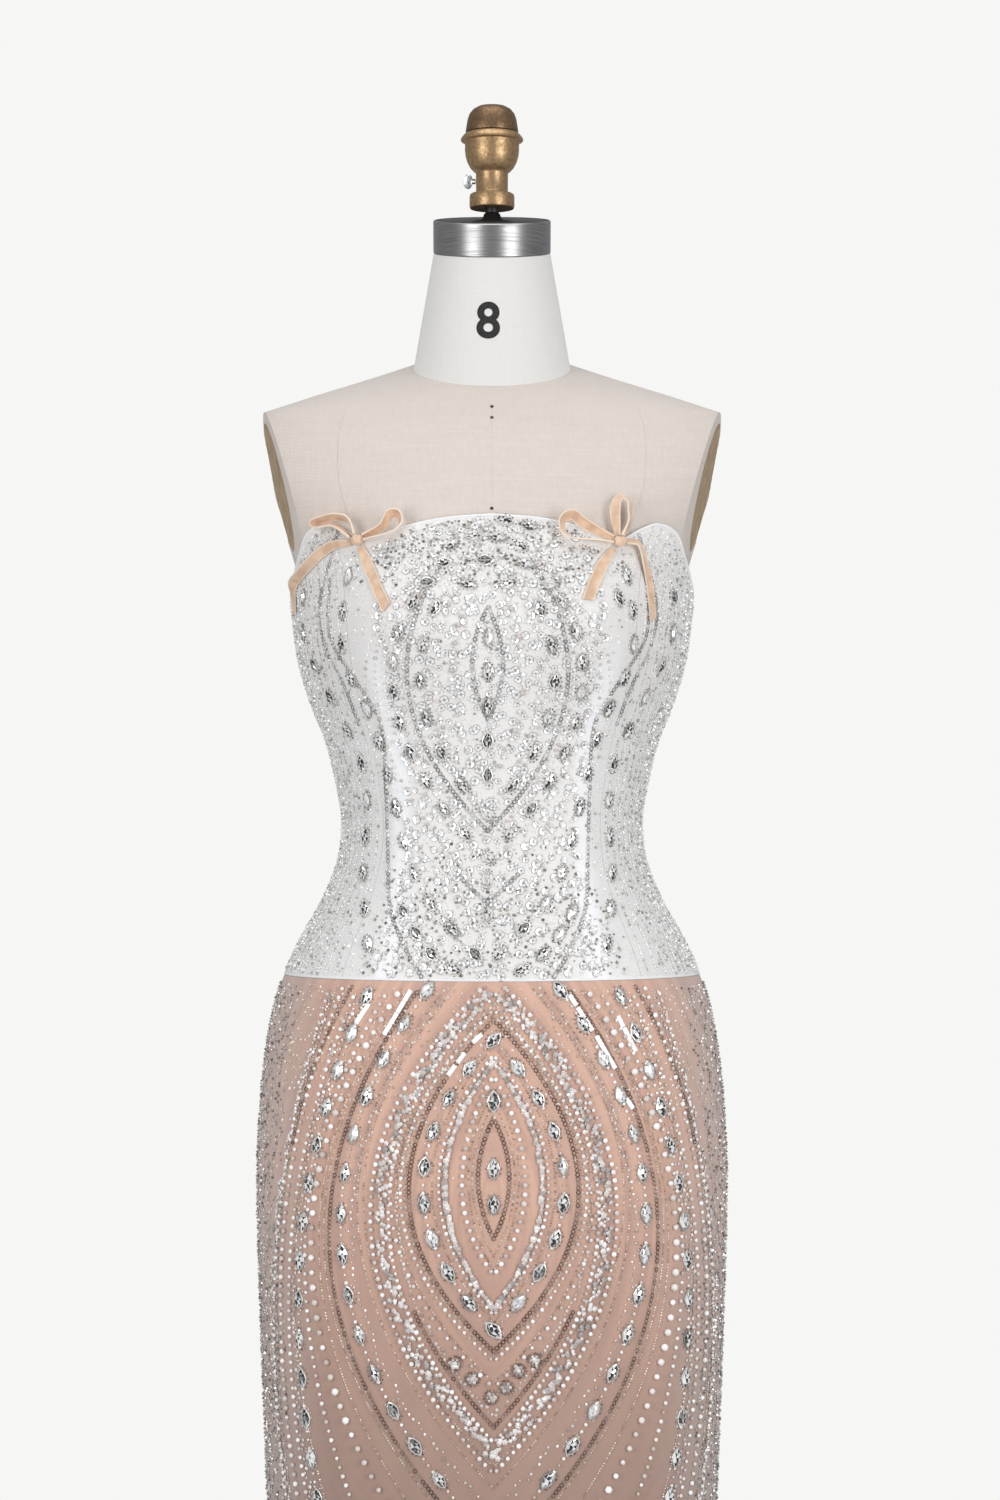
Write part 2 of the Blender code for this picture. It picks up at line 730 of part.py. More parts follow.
for side, sign in (("right", 1), ("left", -1)):
    centre = Vector((sign * ARM_PLATE_CENTRE.x, ARM_PLATE_CENTRE.y, ARM_PLATE_CENTRE.z))
    normal = Vector((sign * ARM_PLATE_NORMAL.x, ARM_PLATE_NORMAL.y, ARM_PLATE_NORMAL.z))
    up = (Vector((0, 0, 1)) - normal * normal.z).normalized()
    across = up.cross(normal)
    turn = Matrix((up, across, normal)).transposed().to_4x4()
    face = Matrix.Translation(centre) @ turn
    slab = box(ARM_SLAB, (0, 0, ARM_SLAB[2] / 2))
    bmesh.ops.transform(slab, matrix=face, verts=slab.verts)
    cut(torso, as_cutter(place(f"arm_cut_{side}", slab, linen)))
    wide = [radius + SEAM_GAP for radius in ARM_PLATE_RADII]
    recess = disc(wide, ARM_RECESS * 2, face)
    cut(torso, as_cutter(place(f"arm_recess_{side}", recess, linen)))
    sunk = Matrix.Translation(normal * (ARM_PLATE_THICKNESS / 2 + SEAM_GAP - ARM_RECESS)) @ face
    place(f"arm_plate_{side}", disc(ARM_PLATE_RADII, ARM_PLATE_THICKNESS, sunk), gilt, smooth=True)

neck_mesh = bmesh.new()
neck_sections = []
for k in range(NECK_RINGS + 1):
    share = k / NECK_RINGS
    tilt = NECK_BASE_TILT + (NECK_TILT - NECK_BASE_TILT) * share
    radii = [radius + (NECK_TOP_RADIUS - radius) * share for radius in NECK_BASE_RADII]
    base = NECK_BASE_CENTRE + Matrix.Rotation(NECK_BASE_TILT, 3, "X") @ Vector((0, 0, SEAM_GAP))
    centre = base.lerp(NECK_TOP_CENTRE, share)
    neck_sections.append(
        [neck_ring_point(2 * math.pi * i / NECK_COLUMNS, centre, radii, tilt) for i in range(NECK_COLUMNS)]
    )
loft(neck_mesh, neck_sections)
place("form_neck", neck_mesh, neck_linen, smooth=True)

# Neck band and cap: a steel band round a black plug whose cone carries the upright rod.
neck_frame = Matrix.Translation(NECK_TOP_CENTRE) @ Matrix.Rotation(NECK_TILT, 4, "X")


def neck_disc(radius, thickness, middle):
    """A disc across the leaning neck, its middle a stated height above the neck's top."""
    return disc((radius, radius), thickness, neck_frame @ Matrix.Translation((0, 0, middle)), 36)


bore_radius = BAND_RADIUS - BAND_WALL
band = place("neck_band", neck_disc(BAND_RADIUS, BAND_HEIGHT, SEAM_GAP + BAND_HEIGHT / 2), steel, smooth=True)
bore = neck_disc(bore_radius, BAND_HEIGHT * 2, BAND_HEIGHT / 2)
cut(band, as_cutter(place("neck_band_bore", bore, steel)))
plug_height = BAND_HEIGHT - PLUG_SINK
plug_shape = neck_disc(bore_radius - SEAM_GAP, plug_height, SEAM_GAP + plug_height / 2)
plug = place("neck_cap", plug_shape, black_paint, smooth=True)
cone_mesh = bmesh.new()
cone_foot = POST_FOOT - CONE_HEIGHT
cone_top = POST_FOOT - SEAM_GAP
bmesh.ops.create_cone(
    cone_mesh,
    cap_ends=True,
    segments=20,
    radius1=CONE_RADIUS,
    radius2=POST_RADIUS + CONE_TOP_LIP,
    depth=cone_top - cone_foot,
    matrix=Matrix.Translation((*POST_PLACE, (cone_top + cone_foot) / 2)),
)
cut(plug, as_cutter(place("neck_cap_cone", cone_mesh, black_paint)), "UNION")

turned(
    "top_rod",
    (
        (0, FINIAL_FOOT - SEAM_GAP),
        (POST_RADIUS, FINIAL_FOOT - SEAM_GAP),
        (POST_RADIUS, POST_FOOT),
        (0, POST_FOOT),
    ),
    black_paint,
    POST_PLACE,
    16,
)
turned("finial", FINIAL, brass, POST_PLACE)

# Wing screw: its stem points at the finial's neck, and its flat wing stands upright.
neck_side = -min(radius for radius, height in FINIAL if abs(height - SCREW_HEIGHT) < 0.010)
stem_end = neck_side - SEAM_GAP
stem_length = abs(-SCREW_HEAD_OUT - stem_end) + SCREW_STEM_BITE


def across_post(x):
    """A frame on the screw's axis, a stated way out from the post, turned to point along X."""
    return Matrix.Translation((x, POST_PLACE[1], SCREW_HEIGHT)) @ Matrix.Rotation(math.pi / 2, 4, "Y")


stem = disc((SCREW_STEM_RADIUS, SCREW_STEM_RADIUS), stem_length, across_post(stem_end - stem_length / 2), 12)
wing_screw = place("wing_screw", stem, zinc, smooth=True)
wing = disc(WING_RADII, WING_THICKNESS, across_post(-SCREW_HEAD_OUT - WING_SET_BACK), 16)
cut(wing_screw, as_cutter(place("wing", wing, zinc)), "UNION")

# Stand: a pole with a flange under the form, in a collar on a round base.
flange_top = FORM_BOTTOM - SEAM_GAP
turned(
    "pole",
    (
        (0, flange_top),
        (POLE_FLANGE_RADIUS, flange_top),
        (POLE_FLANGE_RADIUS, flange_top - POLE_FLANGE_THICKNESS / 2),
        (POLE_RADIUS * 1.8, flange_top - POLE_FLANGE_THICKNESS),
        (POLE_RADIUS, flange_top - POLE_FLANGE_THICKNESS * 2),
        (POLE_RADIUS, BASE_THICKNESS + SEAM_GAP),
        (0, BASE_THICKNESS + SEAM_GAP),
    ),
    stand_paint,
)
collar_bore = POLE_RADIUS + SEAM_GAP
turned(
    "base_collar",
    (
        (collar_bore, 0.052),
        (collar_bore + 0.006, 0.050),
        (collar_bore + 0.008, 0.030),
        (collar_bore + 0.022, BASE_THICKNESS + 0.006),
        (collar_bore + 0.024, BASE_THICKNESS + SEAM_GAP),
        (collar_bore, BASE_THICKNESS + SEAM_GAP),
    ),
    stand_paint,
)
turned(
    "base_plate",
    (
        (0, BASE_THICKNESS),
        (BASE_RADIUS - 0.006, BASE_THICKNESS),
        (BASE_RADIUS, BASE_THICKNESS - 0.004),
        (BASE_RADIUS, 0.001),
        (BASE_RADIUS - 0.001, 0),
        (0, 0),
    ),
    stand_paint,
    steps=40,
)
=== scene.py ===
import math

import bmesh
import bpy
import numpy as np
from mathutils import Matrix, Vector


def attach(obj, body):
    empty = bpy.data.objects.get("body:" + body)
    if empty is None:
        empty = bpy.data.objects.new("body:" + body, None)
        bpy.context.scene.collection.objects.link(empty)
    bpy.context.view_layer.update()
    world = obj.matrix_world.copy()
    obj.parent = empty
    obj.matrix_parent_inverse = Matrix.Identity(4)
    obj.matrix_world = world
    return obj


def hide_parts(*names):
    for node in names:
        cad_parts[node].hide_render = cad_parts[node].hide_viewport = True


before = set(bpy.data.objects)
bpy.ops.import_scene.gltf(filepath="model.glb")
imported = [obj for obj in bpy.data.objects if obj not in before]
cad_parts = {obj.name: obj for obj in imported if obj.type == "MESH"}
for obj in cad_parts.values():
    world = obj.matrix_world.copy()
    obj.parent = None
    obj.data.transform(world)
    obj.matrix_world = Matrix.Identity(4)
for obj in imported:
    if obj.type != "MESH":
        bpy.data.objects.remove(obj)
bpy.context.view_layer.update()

# Studio. The dress form stands on a pale floor that fades into a white surround. Two tall soft boxes
# stand left and right of the camera, and a broad one hangs overhead.
FLOOR_RADIUS = 2.6
FLOOR_FADE = (0.9, 2.0)
CAMERA_PLACE = (0.0067, -2.5, 1.13)
CAMERA_TARGET = (0.0067, 0.0, 1.1504)
VIEW_HEIGHT = 1.26
SENSOR_HEIGHT = 36.0
SURROUND_SEEN = (0.925, 0.925, 0.912)
SURROUND_LIGHT = (0.37, 0.37, 0.38)
SOFT_BOXES = {
    "soft_box_left": ((-1.55, -1.95, 1.30), (0, 0, 1.15), (1.15, 1.9), 26),
    "soft_box_right": ((1.55, -1.95, 1.30), (0, 0, 1.15), (1.15, 1.9), 29),
    "soft_box_over": ((0, -0.4, 2.9), (0, 0, 1.2), (1.6, 1.2), 13),
}


def finish_of(name, colour=(0.8, 0.8, 0.8), roughness=0.5, metallic=0.0, **sockets):
    """A material with one shader, whose plain sockets are set here and the rest linked by the caller."""
    material = bpy.data.materials.new(name)
    material.use_nodes = True
    shader = material.node_tree.nodes["Principled BSDF"]
    shader.inputs["Base Color"].default_value = (*colour, 1)
    shader.inputs["Roughness"].default_value = roughness
    shader.inputs["Metallic"].default_value = metallic
    for socket, value in sockets.items():
        shader.inputs[socket.replace("_", " ")].default_value = value
    material.diffuse_color = (*colour, 1)
    return material, shader


def node(tree, kind, links=(), **settings):
    """A node with its settings, then its inputs as links or plain values by socket name or number."""
    made = tree.nodes.new(kind)
    for key, value in settings.items():
        setattr(made, key, value)
    for socket, source in dict(links).items():
        if isinstance(source, bpy.types.NodeSocket):
            tree.links.new(source, made.inputs[socket])
        else:
            made.inputs[socket].default_value = source
    return made


def linked(name, data):
    """An object that holds this data, put in the scene."""
    thing = bpy.data.objects.new(name, data)
    bpy.context.scene.collection.objects.link(thing)
    return thing


def own_place(tree):
    """The object's own coordinates."""
    return node(tree, "ShaderNodeTexCoord").outputs["Object"]


def ranged(tree, value, low, high, at_low=0.0, at_high=1.0, **settings):
    """A value carried from one range to another."""
    limits = {"Value": value, "From Min": low, "From Max": high, "To Min": at_low, "To Max": at_high}
    return node(tree, "ShaderNodeMapRange", limits, **settings).outputs["Result"]


floor_mesh = bpy.data.meshes.new("studio_floor")
floor_bm = bmesh.new()
bmesh.ops.create_circle(floor_bm, cap_ends=True, segments=96, radius=FLOOR_RADIUS)
floor_bm.to_mesh(floor_mesh)
floor_bm.free()
floor = linked("studio_floor", floor_mesh)
floor_finish, floor_shader = finish_of("pale_floor", (0.80, 0.80, 0.79), 0.75)
tree = floor_finish.node_tree
reach = node(tree, "ShaderNodeVectorMath", {0: own_place(tree)}, operation="LENGTH")
fade = ranged(tree, reach.outputs["Value"], *FLOOR_FADE, 1.0, 0.0, interpolation_type="SMOOTHSTEP")
tree.links.new(fade, floor_shader.inputs["Alpha"])
floor_mesh.materials.append(floor_finish)

for name, (place, target, size, power) in SOFT_BOXES.items():
    lamp = bpy.data.lights.new(name, "AREA")
    lamp.shape = "RECTANGLE"
    lamp.size, lamp.size_y = size
    lamp.energy = power
    stand = linked(name, lamp)
    stand.location = place
    stand.rotation_euler = (Vector(target) - Vector(place)).to_track_quat("-Z", "Y").to_euler()

world = bpy.data.worlds.new("studio")
bpy.context.scene.world = world
world.use_nodes = True
tree = world.node_tree
tree.nodes.clear()
ray = node(tree, "ShaderNodeLightPath")
seen = node(tree, "ShaderNodeBackground", {"Color": (*SURROUND_SEEN, 1)})
lighting = node(tree, "ShaderNodeBackground", {"Color": (*SURROUND_LIGHT, 1)})
to_camera = {0: ray.outputs["Is Camera Ray"], 1: lighting.outputs[0], 2: seen.outputs[0]}
either = node(tree, "ShaderNodeMixShader", to_camera)
node(tree, "ShaderNodeOutputWorld", {"Surface": either.outputs[0]})

camera = linked("photo_camera", bpy.data.cameras.new("photo_camera"))
camera.location = CAMERA_PLACE
camera.rotation_euler = (Vector(CAMERA_TARGET) - Vector(CAMERA_PLACE)).to_track_quat("-Z", "Y").to_euler()
camera.data.sensor_width = SENSOR_HEIGHT
camera.data.lens = SENSOR_HEIGHT * -CAMERA_PLACE[1] / VIEW_HEIGHT
bpy.context.scene.camera = camera
bpy.context.scene.view_settings.view_transform = "Standard"

# Torso of the dress form. It is a padded shell under stretched natural linen, pieced over the bust
# and shoulders. The linen's seams are fine ridges, and brass pins mark the centre front.
CLOTH_WALL = 0.0020
CLOTH_INSIDE = 0.0006
FORM_CLEARANCE = 0.0022
TORSO_FOOT = 0.800
SHOULDER_HEIGHT = 1.434
TORSO_COLUMNS = 144
TORSO_ROWS = 84
SHOULDER_ROWS = 20
BUST = {"height": 1.255, "out": 0.083, "rise": 0.030, "spread": 0.044}
FLUTES = {"start": 0.46, "hem": 0.012, "depth": 0.013, "count": 9, "minor_count": 5, "minor_share": 0.35}
NECK_FOOT = {"centre": Vector((0, 0.008, 1.472)), "radii": (0.066, 0.058), "tilt": math.radians(22)}
ARM_CUT = {
    "centre": Vector((0.1800, 0.012, 1.372)),
    "normal": Vector((0.94, -0.20, -0.22)).normalized(),
    "radii": (0.0553, 0.0313),
    "recess": 0.0040,
}
PIN_HEIGHTS = (1.4332, 1.4240, 1.3462)
PIN_RADIUS = 0.0014
SEAM_LINE_WIDTH = 0.0011
SEAM_LINE_DEPTH = 0.0004

# The figure's level sections: height, half width, depth forwards and depth backwards.
SECTIONS = np.array(
    (
        (0.012, 0.266, 0.230, 0.244),
        (0.080, 0.246, 0.206, 0.218),
        (0.160, 0.225, 0.180, 0.190),
        (0.240, 0.207, 0.155, 0.163),
        (0.320, 0.193, 0.134, 0.142),
        (0.400, 0.185, 0.120, 0.126),
        (0.470, 0.1835, 0.114, 0.118),
        (0.522, 0.1855, 0.113, 0.117),
        (0.600, 0.1885, 0.114, 0.119),
        (0.680, 0.1915, 0.116, 0.123),
        (0.760, 0.1940, 0.118, 0.130),
        (0.815, 0.1940, 0.118, 0.134),
        (0.873, 0.1902, 0.117, 0.136),
        (0.907, 0.1860, 0.115, 0.135),
        (0.940, 0.1795, 0.112, 0.131),
        (0.961, 0.1725, 0.109, 0.126),
        (0.991, 0.1587, 0.105, 0.115),
        (1.024, 0.1402, 0.101, 0.103),
        (1.058, 0.1268, 0.098, 0.095),
        (1.092, 0.1234, 0.097, 0.092),
        (1.125, 0.1285, 0.098, 0.094),
        (1.159, 0.1373, 0.100, 0.099),
        (1.192, 0.1503, 0.103, 0.106),
        (1.226, 0.1600, 0.106, 0.112),
        (1.262, 0.1650, 0.107, 0.116),
        (1.293, 0.1690, 0.104, 0.118),
        (1.310, 0.1740, 0.101, 0.119),
        (1.327, 0.1825, 0.097, 0.119),
        (1.345, 0.1925, 0.092, 0.118),
        (1.366, 0.2020, 0.085, 0.116),
        (1.392, 0.2060, 0.075, 0.110),
        (1.415, 0.2045, 0.065, 0.101),
        (1.434, 0.1950, 0.055, 0.089),
    )
)


def along(table, places, column):
    """Read a column of a table at many places, along a smooth curve through its rows."""
    places = np.clip(places, table[0, 0], table[-1, 0])
    at = np.clip(np.searchsorted(table[:, 0], places, side="right") - 1, 0, len(table) - 2)
    low, high = table[at], table[at + 1]
    before, after = table[np.maximum(at - 1, 0)], table[np.minimum(at + 2, len(table) - 1)]
    span = high[..., 0] - low[..., 0]
    t = (places - low[..., 0]) / span
    slope_low = (high[..., column] - before[..., column]) / (high[..., 0] - before[..., 0]) * span
    slope_high = (after[..., column] - low[..., column]) / (after[..., 0] - low[..., 0]) * span
    return (
        (2 * t**3 - 3 * t**2 + 1) * low[..., column]
        + (t**3 - 2 * t**2 + t) * slope_low
        + (3 * t**2 - 2 * t**3) * high[..., column]
        + (t**3 - t**2) * slope_high
    )


def half_width(heights):
    """Half the form's width at some heights."""
    return along(SECTIONS, np.asarray(heights, float), 1)


def skin(angles, heights):
    """Points of the figure's surface, the angle counted from centre front towards +X."""
    angles, heights = np.broadcast_arrays(np.asarray(angles, float), np.asarray(heights, float))
    ahead = np.cos(angles)
    x = half_width(heights) * np.sin(angles)
    depth = np.where(ahead > 0, along(SECTIONS, heights, 2), along(SECTIONS, heights, 3))
    y = -depth * ahead
    from_bust = (np.abs(x) - BUST["out"]) ** 2 + (heights - BUST["height"]) ** 2
    y -= BUST["rise"] * np.exp(-from_bust / (2 * BUST["spread"] ** 2)) * np.sqrt(np.maximum(ahead, 0))
    share = np.clip((FLUTES["start"] - heights) / (FLUTES["start"] - FLUTES["hem"]), 0, None)
    minor = FLUTES["minor_share"] * np.cos(FLUTES["minor_count"] * angles + 0.9)
    wave = np.cos(FLUTES["count"] * angles) + minor
    stand_out = 1 + FLUTES["depth"] * share**1.6 * wave / np.hypot(x, y)
    return np.stack([x * stand_out, y * stand_out, heights], -1)


def facing(angles, heights):
    """The figure's outward normals."""
    step = 0.004
    round_it = skin(angles + step * 4, heights) - skin(angles - step * 4, heights)
    up_it = skin(angles, heights + step) - skin(angles, heights - step)
    normal = np.cross(round_it, up_it)
    return normal / np.linalg.norm(normal, axis=-1, keepdims=True)


def over(angles, heights, out):
    """Points a stated distance off the figure."""
    return skin(angles, heights) + facing(angles, heights) * out


def working(name, points, faces, weld=False):
    """A working shape with its faces turned outwards."""
    mesh = bpy.data.meshes.new(name)
    mesh.from_pydata([tuple(p) for p in points], [], faces)
    bm = bmesh.new()
    bm.from_mesh(mesh)
    if weld:
        bmesh.ops.remove_doubles(bm, verts=bm.verts, dist=1e-6)
    bmesh.ops.recalc_face_normals(bm, faces=bm.faces)
    bm.to_mesh(mesh)
    bm.free()
    return linked(name, mesh)


def covered(thing, material, smooth):
    """Give a mesh its one finish, smooth but for edges sharper than an angle in degrees."""
    thing.data.materials.clear()
    thing.data.materials.append(material)
    thing.data.shade_smooth()
    thing.data.set_sharp_from_angle(angle=math.radians(smooth))


def settle(thing, body="root", replaces=()):
    """Make a mesh a piece of the object, with its body and the solids it stands for."""
    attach(thing, body)
    if replaces:
        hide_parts(*replaces)
    return thing


def piece(name, points, faces, material, smooth=40, body="root", replaces=(), slot=None):
    """A finished piece of the object at the origin, from its points and faces."""
    thing = working(name, points, faces, weld=True)
    covered(thing, material, smooth)
    return settle(thing, body, replaces)


def made_plain(thing, name):
    """Apply a working object's modifiers, and give back the plain mesh as a new object."""
    bpy.context.view_layer.update()
    result = bpy.data.meshes.new_from_object(thing.evaluated_get(bpy.context.evaluated_depsgraph_get()))
    result.name = name
    bpy.data.objects.remove(thing)
    return linked(name, result)


def lofted(rings, caps=True):
    """Faces that skin a list of equal closed rings, as points and faces."""
    count = len(rings[0])
    points = [p for ring in rings for p in ring]
    faces = [
        (k * count + i, k * count + (i + 1) % count, (k + 1) * count + (i + 1) % count, (k + 1) * count + i)
        for k in range(len(rings) - 1)
        for i in range(count)
    ]
    if caps:
        faces += [tuple(range(count)), tuple(range((len(rings) - 1) * count, len(rings) * count))]
    return points, faces


def added(points, faces, more):
    """Add the points and faces of one more closed shape to a piece."""
    faces += [tuple(i + len(points) for i in face) for face in more[1]]
    points += more[0]


def group_of(name, kind, takes, gives):
    """A new node group with its named sockets, and the sockets that come into it."""
    group = bpy.data.node_groups.new(name, kind)
    for in_out, sockets in (("INPUT", takes), ("OUTPUT", gives)):
        for label, socket in sockets.items():
            group.interface.new_socket(label, in_out=in_out, socket_type=f"NodeSocket{socket}")
    return group, node(group, "NodeGroupInput").outputs


def sums(tree, operation, *values):
    """One step of arithmetic on sockets or plain values."""
    return node(tree, "ShaderNodeMath", dict(enumerate(values)), operation=operation).outputs[0]


def noise_of(tree, place, scale, detail):
    """Soft noise over a place."""
    noise = {"Vector": place, "Scale": scale, "Detail": detail}
    return node(tree, "ShaderNodeTexNoise", noise).outputs["Fac"]


def weave_group():
    """Plain weave: crossing threads with slubs, giving a shade and a height."""
    takes = {"Vector": "Vector", "Threads per metre": "Float", "Slub": "Float"}
    group, come = group_of("plain_weave", "ShaderNodeTree", takes, {"Shade": "Float", "Height": "Float"})
    threads, slubs = [], []
    for direction, stretch in (("X", (9, 9, 126)), ("Z", (126, 126, 9))):
        stretched = node(group, "ShaderNodeVectorMath", {0: come["Vector"], 1: stretch}, operation="MULTIPLY")
        slubs.append(noise_of(group, stretched.outputs[0], 3.0, 3.0))
        wave = {"Vector": come["Vector"], "Scale": come["Threads per metre"]}
        wave |= {"Distortion": 0.6, "Detail": 1.0}
        threads.append(node(group, "ShaderNodeTexWave", wave, bands_direction=direction).outputs["Fac"])
    crossed = sums(group, "MULTIPLY", *threads)
    slubbed = sums(group, "MULTIPLY", sums(group, "ADD", *slubs), come["Slub"])
    level = sums(group, "MULTIPLY", sums(group, "ADD", slubbed, crossed), 0.4)
    node(group, "NodeGroupOutput", {"Shade": level, "Height": crossed})
    return group


plain_weave = weave_group()


def mixed(tree, factor, first, second, blend="MIX"):
    """A colour mix, its inputs given as sockets or plain values."""
    mix = tree.nodes.new("ShaderNodeMix")
    mix.data_type = "RGBA"
    mix.blend_type = blend
    for socket, source in ((0, factor), (6, first), (7, second)):
        if isinstance(source, bpy.types.NodeSocket):
            tree.links.new(source, mix.inputs[socket])
        else:
            mix.inputs[socket].default_value = source
    return mix.outputs[2]


def bumped(tree, shader, height, strength, distance=0.0004):
    """Raise the finish's relief from a height."""
    bump = node(tree, "ShaderNodeBump", {"Height": height, "Strength": strength, "Distance": distance})
    tree.links.new(bump.outputs["Normal"], shader.inputs["Normal"])


def woven(name, thin, thick, threads, slub, roughness, relief, **sockets):
    """A woven cloth whose colour and relief follow its threads."""
    material, shader = finish_of(name, thick, roughness, **sockets)
    tree = material.node_tree
    weave = node(tree, "ShaderNodeGroup", node_tree=plain_weave)
    tree.links.new(own_place(tree), weave.inputs["Vector"])
    weave.inputs["Threads per metre"].default_value = threads
    weave.inputs["Slub"].default_value = slub
    colours = mixed(tree, weave.outputs["Shade"], (*thin, 1), (*thick, 1))
    tree.links.new(colours, shader.inputs["Base Color"])
    bumped(tree, shader, weave.outputs["Height"], relief)
    return material, shader, colours


linen, linen_shader, linen_colours = woven(
    "linen_cover",
    (0.56, 0.50, 0.45),
    (0.77, 0.695, 0.635),
    260,
    0.9,
    0.9,
    0.5,
    Sheen_Weight=0.25,
    Sheen_Roughness=0.5,
)
tree = linen.node_tree
height = node(tree, "ShaderNodeSeparateXYZ", {"Vector": own_place(tree)}).outputs["Z"]
# Painted shade: from 1.40 m up over the shoulder tops the linen darkens half way to a grey brown.
shoulder_painted_shade = mixed(tree, ranged(tree, height, 1.40, 1.47, at_high=0.5), linen_colours, (0.55, 0.50, 0.465, 1))
tree.links.new(shoulder_painted_shade, linen_shader.inputs["Base Color"])

ring_angles = np.arange(TORSO_COLUMNS) * 2 * math.pi / TORSO_COLUMNS
torso_heights = np.linspace(TORSO_FOOT, SHOULDER_HEIGHT, TORSO_ROWS + 1)
torso_rings = [over(ring_angles, height, -FORM_CLEARANCE) for height in torso_heights]


def leaning_ring(angles, centre, radii, tilt):
    """A ring of the neck, leaning forwards."""
    flat = np.stack([radii[0] * np.sin(angles), -radii[1] * np.cos(angles), np.zeros_like(angles)], -1)
    return np.array(centre) + flat @ np.array(Matrix.Rotation(tilt, 3, "X")).T


neck_seam = leaning_ring(ring_angles, NECK_FOOT["centre"], NECK_FOOT["radii"], NECK_FOOT["tilt"])
shoulder_ring = torso_rings[-1]
for k in range(1, SHOULDER_ROWS + 1):
    share = k / SHOULDER_ROWS
    ring = shoulder_ring + (neck_seam - shoulder_ring) * share
    rise = share + 0.05 * math.sin(math.pi * share)
    ring[:, 2] = shoulder_ring[:, 2] + (neck_seam[:, 2] - shoulder_ring[:, 2]) * rise
    torso_rings.append(ring)
torso_work = working("torso_work", *lofted(torso_rings))
cutters = []
beyond_cut = Matrix.Translation((0, 0, 0.05)) @ Matrix.Diagonal((0.4, 0.4, 0.1, 1))
for sign in (1, -1):
    centre, normal = (Vector((sign * v.x, v.y, v.z)) for v in (ARM_CUT["centre"], ARM_CUT["normal"]))
    up = (Vector((0, 0, 1)) - normal * normal.z).normalized()
    matrix = Matrix.Translation(centre) @ Matrix((up, up.cross(normal), normal)).transposed().to_4x4()
    slab = bmesh.new()
    bmesh.ops.create_cube(slab, size=1, matrix=matrix @ beyond_cut)
    recess = bmesh.new()
    wide = Matrix.Diagonal((*ARM_CUT["radii"], ARM_CUT["recess"] * 2, 1))
    rod = {"cap_ends": True, "segments": 96, "radius1": 1, "radius2": 1, "depth": 1}
    bmesh.ops.create_cone(recess, matrix=matrix @ wide, **rod)
    for bm in (slab, recess):
        bmesh.ops.recalc_face_normals(bm, faces=bm.faces)
        mesh = bpy.data.meshes.new("arm_cutter")
        bm.to_mesh(mesh)
        bm.free()
        cutters.append(linked("arm_cutter", mesh))
        modifier = torso_work.modifiers.new("cut", "BOOLEAN")
        modifier.operation = "DIFFERENCE"
        modifier.object = cutters[-1]
        modifier.solver = "EXACT"
torso = made_plain(torso_work, "torso_cover")
for cutter in cutters:
    bpy.data.objects.remove(cutter)
covered(torso, linen, 35)
settle(torso, "root", ["form_torso"])


def swept(lines, width, height, material, name, slot=None):
    """Low rounded ridges along lines that lie on a surface: each line is its points and its normals."""
    points, faces = [], []
    for line, normals in lines:
        line, normals = np.asarray(line), np.asarray(normals)
        ahead = np.gradient(line, axis=0)
        ahead /= np.linalg.norm(ahead, axis=1, keepdims=True)
        across = np.cross(ahead, normals)
        across /= np.linalg.norm(across, axis=1, keepdims=True)
        spins = np.arange(6) * math.pi / 3
        rings = [
            [p + a * width / 2 * math.cos(spin) + n * height * math.sin(spin) for spin in spins]
            for p, n, a in zip(line, normals, across)
        ]
        added(points, faces, lofted(rings))
    return piece(name, points, faces, material, 60, slot=slot)


form_seams = []
front_heights = np.linspace(1.30, SHOULDER_HEIGHT, 40)
for turn in (0, 38, -38, 180, 142, -142, 90, -90):
    back_heights = np.linspace(TORSO_FOOT, SHOULDER_HEIGHT if abs(turn) > 100 else 1.28, 80)
    seam_heights = front_heights if abs(turn) < 90 else back_heights
    turns = np.full_like(seam_heights, math.radians(turn))
    form_seams.append((over(turns, seam_heights, -FORM_CLEARANCE), facing(turns, seam_heights)))
closed = np.append(ring_angles, ring_angles[:1])
around = leaning_ring(closed, NECK_FOOT["centre"], NECK_FOOT["radii"], NECK_FOOT["tilt"])
outward = around - np.array(NECK_FOOT["centre"])
outward = outward / np.linalg.norm(outward, axis=1, keepdims=True) * 0.7 + np.array((0, 0, 0.7))
form_seams.append((around, outward))
swept(form_seams, SEAM_LINE_WIDTH, SEAM_LINE_DEPTH, linen, "form_seams", slot="linen_cover")


def ramped(tree, value, *stops):
    """A smooth ramp through positions and their colours, or their grey levels."""
    ramp = node(tree, "ShaderNodeValToRGB", {"Fac": value})
    while len(ramp.color_ramp.elements) < len(stops):
        ramp.color_ramp.elements.new(1.0)
    for element, (position, level) in zip(ramp.color_ramp.elements, stops):
        element.position = position
        element.color = (*(level if isinstance(level, tuple) else (level,) * 3), 1)
    return ramp.outputs["Color"]


def streaked(name, dark, light, roughness, metallic, stretch, scale, relief, **sockets):
    """A metal or paint whose tone wanders in stretched streaks."""
    material, shader = finish_of(name, light, roughness, metallic, **sockets)
    tree = material.node_tree
    stretched = node(tree, "ShaderNodeMapping", {"Vector": own_place(tree), "Scale": stretch})
    noise = noise_of(tree, stretched.outputs[0], scale, 5.0)
    tree.links.new(ramped(tree, noise, (0.32, dark), (0.68, light)), shader.inputs["Base Color"])
    tree.links.new(ranged(tree, noise, 0, 1, roughness * 1.25, roughness * 0.75), shader.inputs["Roughness"])
    bumped(tree, shader, noise, relief, 0.0005)
    return material


